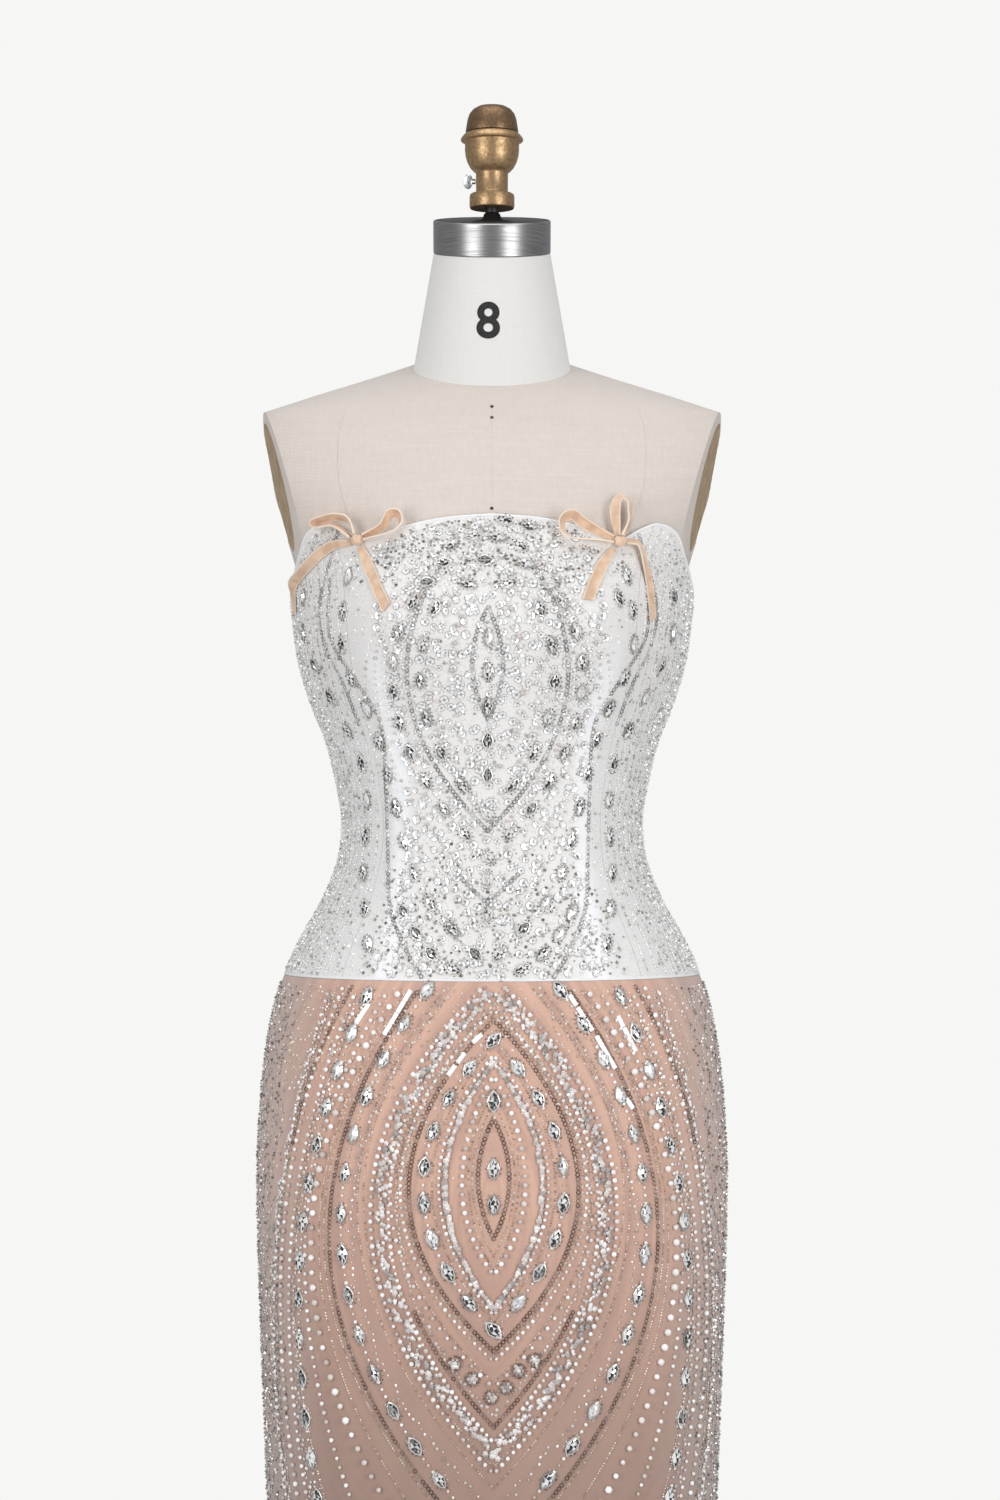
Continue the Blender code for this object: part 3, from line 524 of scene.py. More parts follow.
pin_points, pin_faces = [], []
for height in PIN_HEIGHTS:
    angles = np.arange(12) * math.pi / 6
    foot = over(0.0, height, -FORM_CLEARANCE)
    out = facing(0.0, height)
    up = np.cross(out, (1, 0, 0))
    rings = []
    for radius, lift in ((PIN_RADIUS, -0.0006), (PIN_RADIUS, 0.0004), (PIN_RADIUS * 0.6, 0.0009)):
        spokes = [np.cos(a) * np.array((1, 0, 0)) + np.sin(a) * up for a in angles]
        rings.append([foot + out * lift + radius * spoke for spoke in spokes])
    added(pin_points, pin_faces, lofted(rings))
pin_brass = streaked("pin_brass", (0.07, 0.05, 0.025), (0.13, 0.09, 0.045), 0.4, 0.8, (1, 1, 1), 900, 0.1)
piece("centre_front_pins", pin_points, pin_faces, pin_brass)

# Neck of the dress form. It is a firm cone under off-white linen with a stitched seam at its foot,
# and its size number is printed on the front.
NECK_TOP = {"centre": Vector((0, -0.010, 1.5665)), "radius": 0.0488, "tilt": math.radians(14)}
NECK_COLUMNS = 96
NECK_ROWS = 24
NUMBER_HEIGHT = 0.0300
NUMBER_CENTRE = (-0.0030, 1.5040)
sheen = {"Sheen_Weight": 0.2, "Sheen_Roughness": 0.5}
neck_linen, *_ = woven("neck_linen", (0.70, 0.69, 0.66), (0.88, 0.87, 0.84), 300, 0.5, 0.9, 0.4, **sheen)
neck_angles = np.arange(NECK_COLUMNS) * 2 * math.pi / NECK_COLUMNS
neck_foot_centre = NECK_FOOT["centre"] + Matrix.Rotation(NECK_FOOT["tilt"], 3, "X") @ Vector((0, 0, 0.0003))
neck_rings = []
for share in np.linspace(0, 1, NECK_ROWS + 1):
    tilt = NECK_FOOT["tilt"] + (NECK_TOP["tilt"] - NECK_FOOT["tilt"]) * share
    radii = [r + (NECK_TOP["radius"] - r) * share for r in NECK_FOOT["radii"]]
    centre = neck_foot_centre.lerp(NECK_TOP["centre"], share)
    neck_rings.append(leaning_ring(neck_angles, centre, radii, tilt))
neck = piece("neck_cover", *lofted(neck_rings), neck_linen, replaces=["form_neck"], slot="neck_linen")

number_curve = bpy.data.curves.new("size_number", "FONT")
number_curve.body = "8"
number_curve.size = 1.0
number_curve.offset = 0.022
number_curve.align_x = "CENTER"
number_flat = made_plain(linked("size_number", number_curve), "size_number_flat")
number_bm = bmesh.new()
number_bm.from_mesh(number_flat.data)
bmesh.ops.triangulate(number_bm, faces=number_bm.faces)
bmesh.ops.subdivide_edges(number_bm, edges=[e for e in number_bm.edges if e.calc_length() > 0.12], cuts=2)
low = min(v.co.y for v in number_bm.verts)
high = max(v.co.y for v in number_bm.verts)
scale = NUMBER_HEIGHT / (high - low)
bmesh.ops.solidify(number_bm, geom=number_bm.faces[:], thickness=0.001)
shell_lift = {v: (0.00035 if v.co.z >= -1e-6 else -0.0001) for v in number_bm.verts}
for v in number_bm.verts:
    x = NUMBER_CENTRE[0] + v.co.x * scale
    z = NUMBER_CENTRE[1] + (v.co.y - (low + high) / 2) * scale
    hit, place, normal, _ = neck.ray_cast(Vector((x, -0.3, z)), Vector((0, 1, 0)))
    v.co = place + Vector((0, -1, 0)) * shell_lift[v]
bmesh.ops.recalc_face_normals(number_bm, faces=number_bm.faces)
number_mesh = bpy.data.meshes.new("size_number")
number_bm.to_mesh(number_mesh)
number_bm.free()
bpy.data.objects.remove(number_flat)
print_tones = ((0.010, 0.010, 0.010), (0.018, 0.018, 0.018))
print_black = streaked("print_black", *print_tones, 0.7, 0.0, (1, 1, 1), 700, 0.05)
number_mesh.materials.append(print_black)
settle(linked("size_number_print", number_mesh))

# Neck hardware. A brushed steel band is pressed round a black cap, and the cap's cone carries a black
# rod. The finial on it is turned brass with a browned dome, held by a zinc thumb screw.
BAND_HEIGHT = 0.027
BAND_RADIUS = 0.0491
BAND_WALL = 0.0022
POST_PLACE = (0, -0.013)
POST_RADIUS = 0.0058
POST_FOOT = 1.5995
FINIAL_FOOT = 1.6035
SCREW_FOOT = (-0.0200, POST_PLACE[1], 1.626)
SCREW_STEM = {"radius": 0.0022, "length": 0.0063, "bevel": (0.0004, 0.0005)}
SCREW_WING = {"turn": math.radians(60), "half": (0.0062, 0.0042, 0.0011)}
TURN_STEPS = 96
DOME = (
    (0.0000, 1.6900),
    (0.0060, 1.6897),
    (0.0118, 1.6885),
    (0.0160, 1.6861),
    (0.0189, 1.6825),
    (0.0205, 1.6780),
    (0.0214, 1.6725),
    (0.0221, 1.6678),
    (0.0218, 1.6670),
    (0.0208, 1.6666),
    (0.0000, 1.6666),
)
BOWL = (
    (0.0000, 1.6665),
    (0.0208, 1.6665),
    (0.0222, 1.6661),
    (0.0235, 1.6650),
    (0.0258, 1.6622),
    (0.0262, 1.6606),
    (0.0257, 1.6598),
    (0.0238, 1.6597),
    (0.0230, 1.6590),
    (0.0226, 1.6560),
    (0.0227, 1.6520),
    (0.0221, 1.6470),
    (0.0206, 1.6420),
    (0.0182, 1.6375),
    (0.0154, 1.6345),
    (0.0138, 1.6334),
    (0.0134, 1.6320),
    (0.0133, 1.6170),
    (0.0140, 1.6160),
    (0.0172, 1.6156),
    (0.0184, 1.6148),
    (0.0188, 1.6130),
    (0.0188, 1.6048),
    (0.0182, FINIAL_FOOT),
    (0.0000, FINIAL_FOOT),
)


def turned(name, profile, material, place=(0, 0), matrix=None, closed_profile=False, **settings):
    """Turn a profile of radius and height about an upright axis, then place it by a matrix."""
    angles = np.arange(TURN_STEPS) * 2 * math.pi / TURN_STEPS
    spokes = [(math.cos(a), math.sin(a)) for a in angles]
    rings = [
        [Vector((radius * x + place[0], radius * y + place[1], height)) for x, y in spokes]
        for radius, height in profile
    ]
    if closed_profile:
        rings.append(rings[0])
    points, faces = lofted(rings, caps=False)
    if matrix:
        points = [matrix @ p for p in points]
    return piece(name, points, faces, material, **settings)


steel = streaked("brushed_steel", (0.24, 0.24, 0.245), (0.42, 0.42, 0.42), 0.32, 1.0, (6, 6, 260), 6, 0.08)
paint_tones = ((0.010, 0.010, 0.010), (0.022, 0.022, 0.024))
black_paint = streaked("black_paint", *paint_tones, 0.42, 0.0, (1, 1, 1), 300, 0.15)
brass = streaked("aged_brass", (0.31, 0.195, 0.095), (0.52, 0.355, 0.20), 0.40, 0.85, (1, 1, 1), 420, 0.30)
browned_tones = ((0.14, 0.085, 0.045), (0.25, 0.155, 0.085))
browned = streaked("browned_brass", *browned_tones, 0.42, 0.75, (1, 1, 1), 420, 0.35)
zinc = streaked("bright_zinc", (0.50, 0.53, 0.54), (0.72, 0.76, 0.77), 0.28, 1.0, (1, 1, 1), 500, 0.2)
neck_frame = Matrix.Translation(NECK_TOP["centre"]) @ Matrix.Rotation(NECK_TOP["tilt"], 4, "X")
band_low, band_high = 0.0003, 0.0003 + BAND_HEIGHT
turned(
    "steel_neck_band",
    (
        (BAND_RADIUS - BAND_WALL, band_low),
        (BAND_RADIUS - 0.0006, band_low),
        (BAND_RADIUS, band_low + 0.0006),
        (BAND_RADIUS, band_high - 0.0008),
        (BAND_RADIUS - 0.0008, band_high),
        (BAND_RADIUS - BAND_WALL, band_high),
    ),
    steel,
    matrix=neck_frame,
    closed_profile=True,
    replaces=["neck_band"],
    slot="brushed_steel",
)
cap_top = BAND_HEIGHT - 0.0007
turned(
    "black_cap",
    (
        (0, band_low),
        (BAND_RADIUS - BAND_WALL - 0.0003, band_low),
        (BAND_RADIUS - BAND_WALL - 0.0003, cap_top),
        (BAND_RADIUS - BAND_WALL - 0.0013, cap_top + 0.0008),
        (0, cap_top + 0.0015),
    ),
    black_paint,
    matrix=neck_frame,
    replaces=["neck_cap"],
    slot="black_paint",
)
turned(
    "cap_cone",
    (
        (0, POST_FOOT - 0.0140),
        (0.0200, POST_FOOT - 0.0140),
        (0.0120, POST_FOOT - 0.0075),
        (0.0078, POST_FOOT - 0.0040),
        (0.0068, POST_FOOT - 0.0010),
        (0.0060, POST_FOOT - 0.0004),
        (0, POST_FOOT - 0.0004),
    ),
    black_paint,
    place=POST_PLACE,
    slot="black_paint",
)
post_top = FINIAL_FOOT - 0.0003
turned(
    "threaded_rod",
    ((0, POST_FOOT), (POST_RADIUS, POST_FOOT), (POST_RADIUS, post_top), (0, post_top)),
    black_paint,
    place=POST_PLACE,
    replaces=["top_rod"],
    slot="black_paint",
)
turned("finial_bowl", BOWL, brass, place=POST_PLACE, replaces=["finial"], slot="aged_brass")
turned("finial_dome", DOME, browned, place=POST_PLACE, slot="aged_brass")
radius, length, (inwards, back) = SCREW_STEM["radius"], SCREW_STEM["length"], SCREW_STEM["bevel"]
level = Matrix.Rotation(math.pi / 2, 4, "Y")
turned(
    "screw_stem",
    ((0, 0), (radius, 0), (radius, length - back), (radius - inwards, length), (0, length)),
    zinc,
    matrix=Matrix.Translation(SCREW_FOOT) @ level,
    body="thumb_screw",
    replaces=["wing_screw"],
    slot="zinc",
)
wing_size = Matrix.Diagonal((*SCREW_WING["half"], 1))
turned(
    "screw_wing",
    ((0, -0.8), (0.5, -0.75), (0.84, -1), (1, -0.4), (1, 0.4), (0.84, 1), (0.5, 0.75), (0, 0.8)),
    zinc,
    matrix=Matrix.Translation(SCREW_FOOT) @ Matrix.Rotation(SCREW_WING["turn"], 4, "Z") @ level @ wing_size,
    body="thumb_screw",
    slot="zinc",
)
gilt = streaked("gilt_plate", (0.32, 0.22, 0.12), (0.56, 0.42, 0.25), 0.5, 0.3, (40, 40, 4), 8, 0.25)


def refinished(material, *parts):
    """Give solids that show as they are their finish."""
    for part in parts:
        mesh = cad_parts[part].data
        mesh.materials.clear()
        mesh.materials.append(material)


refinished(gilt, "arm_plate_left", "arm_plate_right")

# Stand. A steel pole with a flange under the form stands in a cast collar on a round base, all in
# black hammered paint. None of it is in the photo.
hammered_tones = ((0.018, 0.018, 0.019), (0.045, 0.045, 0.047))
hammered = streaked("hammered_paint", *hammered_tones, 0.38, 0.1, (1, 1, 1), 240, 0.6)
refinished(hammered, "pole", "base_collar", "base_plate")

# Skirt. One front and two backs are cut from sheer mesh over blush cloth and hang in soft flutes from
# the dropped waist. The mesh's fine net shows as a slight tooth over the cloth's colour.
HEM_HEIGHT = 0.012
SEAM_GAP = 0.0003
SEAM_RADIUS = 0.15
SKIRT_SEAM_TURN = 13 / 54 * 2 * math.pi
SKIRT_ROWS = 88
COLUMNS_PER_TURN = 168
NECKLINE = np.array(
    (
        (0, 1.3404),
        (12, 1.3370),
        (24, 1.3290),
        (35, 1.3200),
        (41, 1.3295),
        (46, 1.3350),
        (55, 1.3290),
        (65, 1.3110),
        (78, 1.2890),
        (90, 1.2770),
        (120, 1.2680),
        (150, 1.2620),
        (180, 1.2600),
    )
)


def turn_of(angles):
    """Degrees round from centre front, the same to left and right."""
    return np.degrees(np.abs((np.asarray(angles) + math.pi) % (2 * math.pi) - math.pi))


def bodice_hem(angles):
    """Height of the bodice's lower edge, which is the skirt's upper one."""
    return 0.9620 + 0.0015 * np.cos(angles)


def bodice_top(angles):
    """Height of the bodice's top edge."""
    return along(NECKLINE, turn_of(angles), 1)


def marked(mesh, **marks):
    """Let each point of a mesh carry named numbers or directions."""
    for name, values in marks.items():
        values = np.asarray(values, np.float32)
        kind, field = ("FLOAT_VECTOR", "vector") if values.ndim == 2 else ("FLOAT", "value")
        mesh.attributes.new(name, kind, "POINT").data.foreach_set(field, values.ravel())


def told(tree, name):
    """A number that the mesh carries by this name."""
    return node(tree, "ShaderNodeAttribute", attribute_name=name).outputs["Fac"]


def cloth_shell(cut, first, last, rows, foot, top, material, slot, **tones):
    """One cut panel of cloth between two seams, with its own thickness and turned edges."""
    columns = max(8, round((last - first) / (2 * math.pi) * COLUMNS_PER_TURN))
    trim = SEAM_GAP / 2 / SEAM_RADIUS
    angles = np.linspace(first + trim, last - trim, columns + 1)[None, :]
    share = np.linspace(0, 1, rows + 1)[:, None]
    heights = foot(angles) + (top(angles) - foot(angles)) * share
    angles = np.broadcast_to(angles, heights.shape)
    layers = [over(angles, heights, CLOTH_INSIDE), over(angles, heights, CLOTH_WALL)]
    count = columns + 1
    total = count * (rows + 1)
    points = np.concatenate([layer.reshape(-1, 3) for layer in layers])
    faces = []
    for row in range(rows):
        for i in range(columns):
            a, b = row * count + i, (row + 1) * count + i
            faces.append((a, b, b + 1, a + 1))
            faces.append((total + a, total + a + 1, total + b + 1, total + b))
    border = list(range(count))
    border += [row * count + columns for row in range(1, rows + 1)]
    border += [rows * count + i for i in range(columns - 1, -1, -1)]
    border += [row * count for row in range(rows - 1, 0, -1)]
    for a, b in zip(border, border[1:] + border[:1]):
        faces.append((a, b, total + b, total + a))
    panel = piece(f"{cut}_cloth", points, faces, material, 50, replaces=[cut], slot=slot)
    spots = np.array([v.co for v in panel.data.vertices])
    marked(panel.data, **{tone: rule(spots) for tone, rule in tones.items()})
    outer = layers[1]
    ups, alongs = outer[1:, :-1] - outer[:-1, :-1], outer[:-1, 1:] - outer[:-1, :-1]
    area = np.linalg.norm(np.cross(ups, alongs), axis=-1).sum()
    across = np.linalg.norm(np.diff(outer, axis=1), axis=-1).sum(1).max()
    down = np.linalg.norm(np.diff(outer, axis=0), axis=-1).sum(0).max()
    return panel, across, down, area


blush, blush_shader, blush_colours = woven(
    "blush_beaded_mesh", (0.63, 0.385, 0.29), (0.80, 0.52, 0.40), 420, 0.9, 0.55, 0.25, Sheen_Weight=0.3
)
tree = blush.node_tree
place = own_place(tree)
height = node(tree, "ShaderNodeSeparateXYZ", {"Vector": place}).outputs["Z"]
banding = node(tree, "ShaderNodeMapping", {"Vector": place, "Scale": (22, 22, 1.2)})
bands = noise_of(tree, banding.outputs[0], 1.0, 2.0)
# Painted shade: below the hips the blush darkens to a dusky brown, nine tenths of the way at 0.5 m and lower,
# where less light reaches.
bead_grey_and_painted_shade = mixed(tree, ranged(tree, height, 0.82, 0.50, at_high=0.9), blush_colours, (0.26, 0.175, 0.145, 1))
rows = {"W": sums(tree, "MULTIPLY", told(tree, "oval"), 130.0), "Scale": 1.0, "Detail": 1.0}
rows = node(tree, "ShaderNodeTexNoise", rows, noise_dimensions="1D").outputs["Fac"]
rowed = mixed(tree, ramped(tree, rows, (0.38, 0.42), (0.62, 0.0)), bead_grey_and_painted_shade, (0.42, 0.265, 0.225, 1))
shadowed = mixed(tree, 0.5, rowed, ramped(tree, bands, (0.3, 0.75), (0.7, 1.0)), "MULTIPLY")
silvered = mixed(tree, told(tree, "silvered"), shadowed, (0.52, 0.455, 0.425, 1))
tree.links.new(silvered, blush_shader.inputs["Base Color"])


def turn_at(points):
    """Degrees round from centre front at which points lie."""
    return np.degrees(np.abs(np.arctan2(points[:, 0], -points[:, 1])))


def smoothstep(low, high, values):
    """A soft rise from 0 at one value to 1 at the other."""
    t = np.clip((values - low) / (high - low), 0, 1)
    return t * t * (3 - 2 * t)


def oval_of(points):
    """How far out a point lies in the skirt's family of pointed ovals, in metres of half width."""
    halves = np.linspace(0.0, 0.40, 81)[None, :]
    share = (points[:, 2:3] - 0.775) / (0.030 + 1.75 * halves)
    gap = halves * (1 - share**2) - np.abs(points[:, 0:1])
    first = np.maximum((gap > 0).argmax(1), 1)
    row = np.arange(len(points))
    before, after = gap[row, first - 1], gap[row, first]
    step = np.clip(-before / np.maximum(after - before, 1e-9), 0, 1)
    return np.where((gap > 0).any(1), halves[0, first - 1] + 0.005 * step, 0.40)


def side_silver(points):
    """How far the silver beads have taken over the cloth's colour, from the front to the sides."""
    turn = turn_at(points)
    return smoothstep(55, 78, turn) * smoothstep(125, 102, turn) * 0.55


skirt_cuts = {
    "skirt_front": (-SKIRT_SEAM_TURN, SKIRT_SEAM_TURN),
    "skirt_back_right": (SKIRT_SEAM_TURN, math.pi),
    "skirt_back_left": (math.pi, 2 * math.pi - SKIRT_SEAM_TURN),
}
skirt_edges = (lambda angles: np.full_like(angles, HEM_HEIGHT), lambda angles: bodice_hem(angles) - SEAM_GAP)
skirt_tones = {"oval": oval_of, "silvered": side_silver}
for cut, turns in skirt_cuts.items():
    panel, across, down, area = cloth_shell(
        cut, *turns, SKIRT_ROWS, *skirt_edges, blush, "blush_beaded_mesh", **skirt_tones
    )

around = np.linspace(-math.pi, math.pi, 361)
hem_height = np.full_like(around, HEM_HEIGHT + 0.0035)
hem_line = [(over(around, hem_height, CLOTH_WALL), facing(around, hem_height))]
swept(hem_line, 0.0066, 0.0008, blush, "rolled_hem", slot="blush_beaded_mesh")

# Bodice. Five boned panels of white satin under beaded mesh are seamed over the bust, at the sides
# and at centre back. The middle stays bright, and the sides grey under dense small silver beads.
PRINCESS_TURN = math.radians(45)
BODICE_ROWS = 56
ivory, ivory_shader, ivory_colours = woven(
    "ivory_beaded_mesh", (0.73, 0.71, 0.69), (0.90, 0.885, 0.865), 420, 0.7, 0.38, 0.25, Sheen_Weight=0.15
)
tree = ivory.node_tree
# Painted shadows: dark specks over the cloth stand for the shadows under the small beads.
specks = node(tree, "ShaderNodeTexVoronoi", {"Vector": own_place(tree), "Scale": 420.0})
painted_bead_shadows = ramped(tree, specks.outputs["Distance"], (0.10, 0.55), (0.26, 1.0))
# The sides take the grey of their dense silver beads.
bead_grey_and_painted_shade = mixed(tree, told(tree, "greying"), ivory_colours, (0.77, 0.77, 0.76, 1))
speckled = mixed(tree, 0.75, bead_grey_and_painted_shade, painted_bead_shadows, "MULTIPLY")
brightened = mixed(tree, told(tree, "satin"), speckled, (0.92, 0.93, 0.95, 1))
tree.links.new(brightened, ivory_shader.inputs["Base Color"])


def side_greying(points):
    """How far the sides grey, all the way up under the arms and from the bust down in front."""
    turn = turn_at(points)
    below = smoothstep(1.25, 1.17, points[:, 2])
    front = smoothstep(42, 50, turn) * below
    under_arm = smoothstep(62, 78, turn)
    return np.maximum(front, under_arm) * 0.9


def satin_strip(points):
    """How bare the bright satin lies, in the strips beside the middle of the front."""
    turn = turn_at(points)
    strip = smoothstep(36, 40, turn) * smoothstep(48, 44, turn) * smoothstep(1.26, 1.20, points[:, 2])
    return strip * 0.8


bodice_cuts = {
    "bodice_centre_front": (-PRINCESS_TURN, PRINCESS_TURN),
    "bodice_side_front_right": (PRINCESS_TURN, math.pi / 2),
    "bodice_back_right": (math.pi / 2, math.pi),
    "bodice_back_left": (math.pi, 1.5 * math.pi),
    "bodice_side_front_left": (1.5 * math.pi, 2 * math.pi - PRINCESS_TURN),
}
bodice_tones = {"greying": side_greying, "satin": satin_strip}
for cut, turns in bodice_cuts.items():
    panel, across, down, area = cloth_shell(
        cut, *turns, BODICE_ROWS, bodice_hem, bodice_top, ivory, "ivory_beaded_mesh", **bodice_tones
    )

satin_piping, *_ = woven("satin_piping", (0.80, 0.81, 0.82), (0.92, 0.925, 0.93), 500, 0.5, 0.32, 0.15)
around = np.linspace(0.03 - math.pi, math.pi - 0.03, 300)
piping = []
for edge in (bodice_top(around) - 0.0010, bodice_hem(around) + 0.0009):
    piping.append((over(around, edge, CLOTH_WALL), facing(around, edge)))
swept(piping, 0.0021, 0.0007, satin_piping, "edge_piping", slot="ivory_beaded_mesh")

# Velvet bows. Each is one length of peach velvet ribbon with satin edges, looped twice, knotted and
# tacked to the neckline, so its loops stand off the bodice and its two tails hang over the beading.
RIBBON_THICKNESS = 0.0013
RIBBON_STEPS = 7
TAIL_SLANT = 0.0016
# Strands: millimetres across and up from their knot, clearance under the strand in millimetres,
# degrees of lean from lying flat (0) to standing on edge (90), and width in millimetres.
BOWS = {
    "left": {
        "knot": (-0.1058, 1.3175),
        "inner_loop": (
            (5.4, 0.2, 2.2, 70, 5.0),
            (16.5, 1.8, 2.6, 60, 8.0),
            (27.3, 4.8, 2.6, 55, 9.5),
            (33.9, 11.6, 2.6, 60, 9.5),
            (32.0, 19.0, 2.6, 65, 9.5),
            (26.0, 19.6, 2.6, 65, 9.5),
            (23.0, 14.5, 2.6, 65, 9.0),
            (18.5, 8.2, 2.6, 70, 8.0),
            (4.5, 2.8, 2.4, 75, 5.0),
        ),
        "outer_loop": (
            (-2.4, 4.6, 2.6, 70, 5.0),
            (-7.0, 16.5, 2.6, 65, 9.0),
            (-16.5, 20.2, 2.6, 65, 9.5),
            (-27.0, 19.6, 2.6, 65, 9.5),
            (-34.6, 17.6, 2.6, 65, 9.5),
            (-30.5, 14.6, 2.6, 65, 9.5),
            (-19.8, 14.4, 2.6, 65, 9.0),
            (-12.4, 10.2, 2.6, 70, 8.0),
            (-4.8, 2.7, 2.6, 75, 5.0),
        ),
        "outer_tail": (
            (-5.6, -1.1, 1.6, 40, 5.0),
            (-19.8, -1.8, 1.0, 35, 8.0),
            (-31.3, -8.3, 0.8, 45, 9.0),
            (-45.4, -21.5, 0.8, 55, 9.0),
            (-53.4, -29.5, 0.8, 40, 9.0),
            (-55.3, -38.0, 0.8, 10, 9.0),
            (-55.0, -53.7, 0.8, 0, 9.0),
        ),
        "inner_tail": (
            (1.4, -4.7, 1.2, 5, 6.0),
            (5.8, -15.0, 0.8, 0, 9.0),
            (10.9, -27.3, 0.8, 0, 9.5),
            (16.5, -41.0, 0.8, 0, 9.5),
            (23.0, -54.5, 0.8, 0, 9.5),
        ),
    },
    "right": {
        "knot": (0.1002, 1.3158),
        "inner_loop": (
            (-4.9, 2.4, 2.6, 60, 5.0),
            (-18.8, 8.2, 2.6, 50, 8.0),
            (-28.9, 14.2, 2.6, 50, 9.5),
            (-36.0, 20.4, 2.6, 55, 9.5),
            (-43.6, 16.0, 2.6, 55, 9.5),
            (-43.4, 5.2, 2.6, 55, 9.5),
            (-36.0, 0.2, 2.6, 60, 9.0),
            (-22.0, -0.4, 2.6, 65, 8.0),
            (-5.6, -0.9, 3.0, 70, 5.0),
        ),
        "outer_loop": (
            (-1.4, 5.0, 2.6, 50, 5.0),
            (-2.4, 15.7, 2.6, 45, 8.0),
            (-2.6, 25.6, 2.6, 45, 9.5),
            (-0.6, 34.0, 2.6, 50, 9.5),
            (3.7, 37.0, 2.6, 50, 9.5),
            (8.6, 33.6, 2.6, 50, 9.5),
            (9.3, 25.6, 2.6, 45, 9.5),
            (8.2, 15.7, 2.6, 50, 8.0),
            (2.9, 4.4, 2.6, 55, 5.0),
        ),
        "inner_tail": (
            (-2.9, -4.6, 0.8, 5, 5.0),
            (-12.0, -18.0, 0.8, 0, 9.5),
            (-18.6, -32.4, 0.8, 0, 9.5),
            (-24.0, -47.1, 0.8, 0, 9.5),
        ),
        "outer_tail": (
            (5.6, 1.0, 2.2, 30, 5.0),
            (14.4, 0.6, 2.6, 30, 7.5),
            (18.2, -5.6, 2.4, 25, 8.0),
            (21.5, -17.3, 1.5, 15, 8.0),
            (25.4, -30.7, 0.8, 0, 8.5),
            (26.8, -45.6, 0.8, 0, 8.5),
            (28.1, -60.3, 0.8, 0, 8.5),
        ),
    },
}
# The ribbon's cross-section: share of its half width, share of its half thickness, and how satin it is.
RIBBON_EDGE = ((1.0, 0.0, 1), (0.95, 1.0, 1), (0.84, 1.0, 1), (0.76, 0.7, 0))
RIBBON_PROFILE = (
    *((-u, t, satin) for u, t, satin in RIBBON_EDGE),
    (-0.3, 0.8, 0),
    (0.3, 0.8, 0),
    *reversed(RIBBON_EDGE),
    *((u, -t, satin) for u, t, satin in RIBBON_EDGE[1:]),
    *((-u, -t, satin) for u, t, satin in reversed(RIBBON_EDGE[1:])),
)
STRANDS = ("inner_loop", "outer_loop", "inner_tail", "outer_tail")
KNOT_RADII = (0.0048, 0.0042, 0.0045)
KNOT_LIFT = 0.0054

velvet, shader = finish_of("peach_velvet", (0.72, 0.51, 0.36), 0.85, Sheen_Weight=0.7, Sheen_Roughness=0.4)
tree = velvet.node_tree
edge = told(tree, "satin_edge")
brushed = ramped(tree, noise_of(tree, own_place(tree), 110.0, 1.0), (0.35, 0), (0.65, 1))
pile = mixed(tree, brushed, (0.62, 0.42, 0.29, 1), (0.78, 0.56, 0.405, 1))
tree.links.new(mixed(tree, edge, pile, (0.82, 0.67, 0.535, 1)), shader.inputs["Base Color"])
tree.links.new(ranged(tree, edge, 0, 1, 0.9, 0.35), shader.inputs["Roughness"])
bumped(tree, shader, noise_of(tree, own_place(tree), 900.0, 3.0), 0.35)


def on_bodice(x, heights, lift):
    """Points and outward normals over the bodice, seen from the front at x."""
    angles = np.arcsin(np.clip(x / half_width(heights), -0.995, 0.995))
    return over(angles, heights, CLOTH_WALL + lift), facing(angles, heights)


def unit(vectors):
    """Vectors brought to a length of one."""
    return vectors / np.linalg.norm(vectors, axis=-1, keepdims=True)


def ribbon_strand(knot, rows, is_tail):
    """One strand of ribbon as rings of its cross-section, with its length and its flat area."""
    table = np.column_stack([np.arange(len(rows)), np.array(rows, float)])
    steps = np.linspace(0, len(rows) - 1, (len(rows) - 1) * RIBBON_STEPS + 1)
    across, up, clearance, lean, width = (along(table, steps, c) for c in range(1, 6))
    lean, width = np.radians(lean), width / 1000
    drop = width / 2 * np.sin(lean) + RIBBON_THICKNESS / 2 * np.cos(lean)
    lift = (clearance / 1000 + drop)[:, None]
    points, normals = on_bodice(knot[0] + across / 1000, knot[1] + up / 1000, lift)
    ahead = unit(np.gradient(points, axis=0))
    side = unit(np.cross(ahead, normals))
    spread = unit(side * np.cos(lean)[:, None] + normals * np.sin(lean)[:, None])
    through = unit(np.cross(spread, ahead))
    run = np.concatenate([[0], np.cumsum(np.linalg.norm(np.diff(points, axis=0), axis=1))])
    from_knot = run if is_tail else np.minimum(run, run[-1] - run)
    crush = 0.0007 * np.exp(-from_knot / 0.008)
    cut = TAIL_SLANT * np.clip((run - run[-1] + 0.006) / 0.006, 0, 1) if is_tail else np.zeros_like(run)
    rings = []
    for k in range(len(points)):
        ring = []
        for u, t, _ in RIBBON_PROFILE:
            lift = t * RIBBON_THICKNESS / 2 + crush[k] * math.cos(3 * math.pi * u)
            ring.append(points[k] + spread[k] * u * width[k] / 2 + through[k] * lift + ahead[k] * u * cut[k])
        rings.append(ring)
    return rings, points, run[-1], float(np.trapz(width, run))


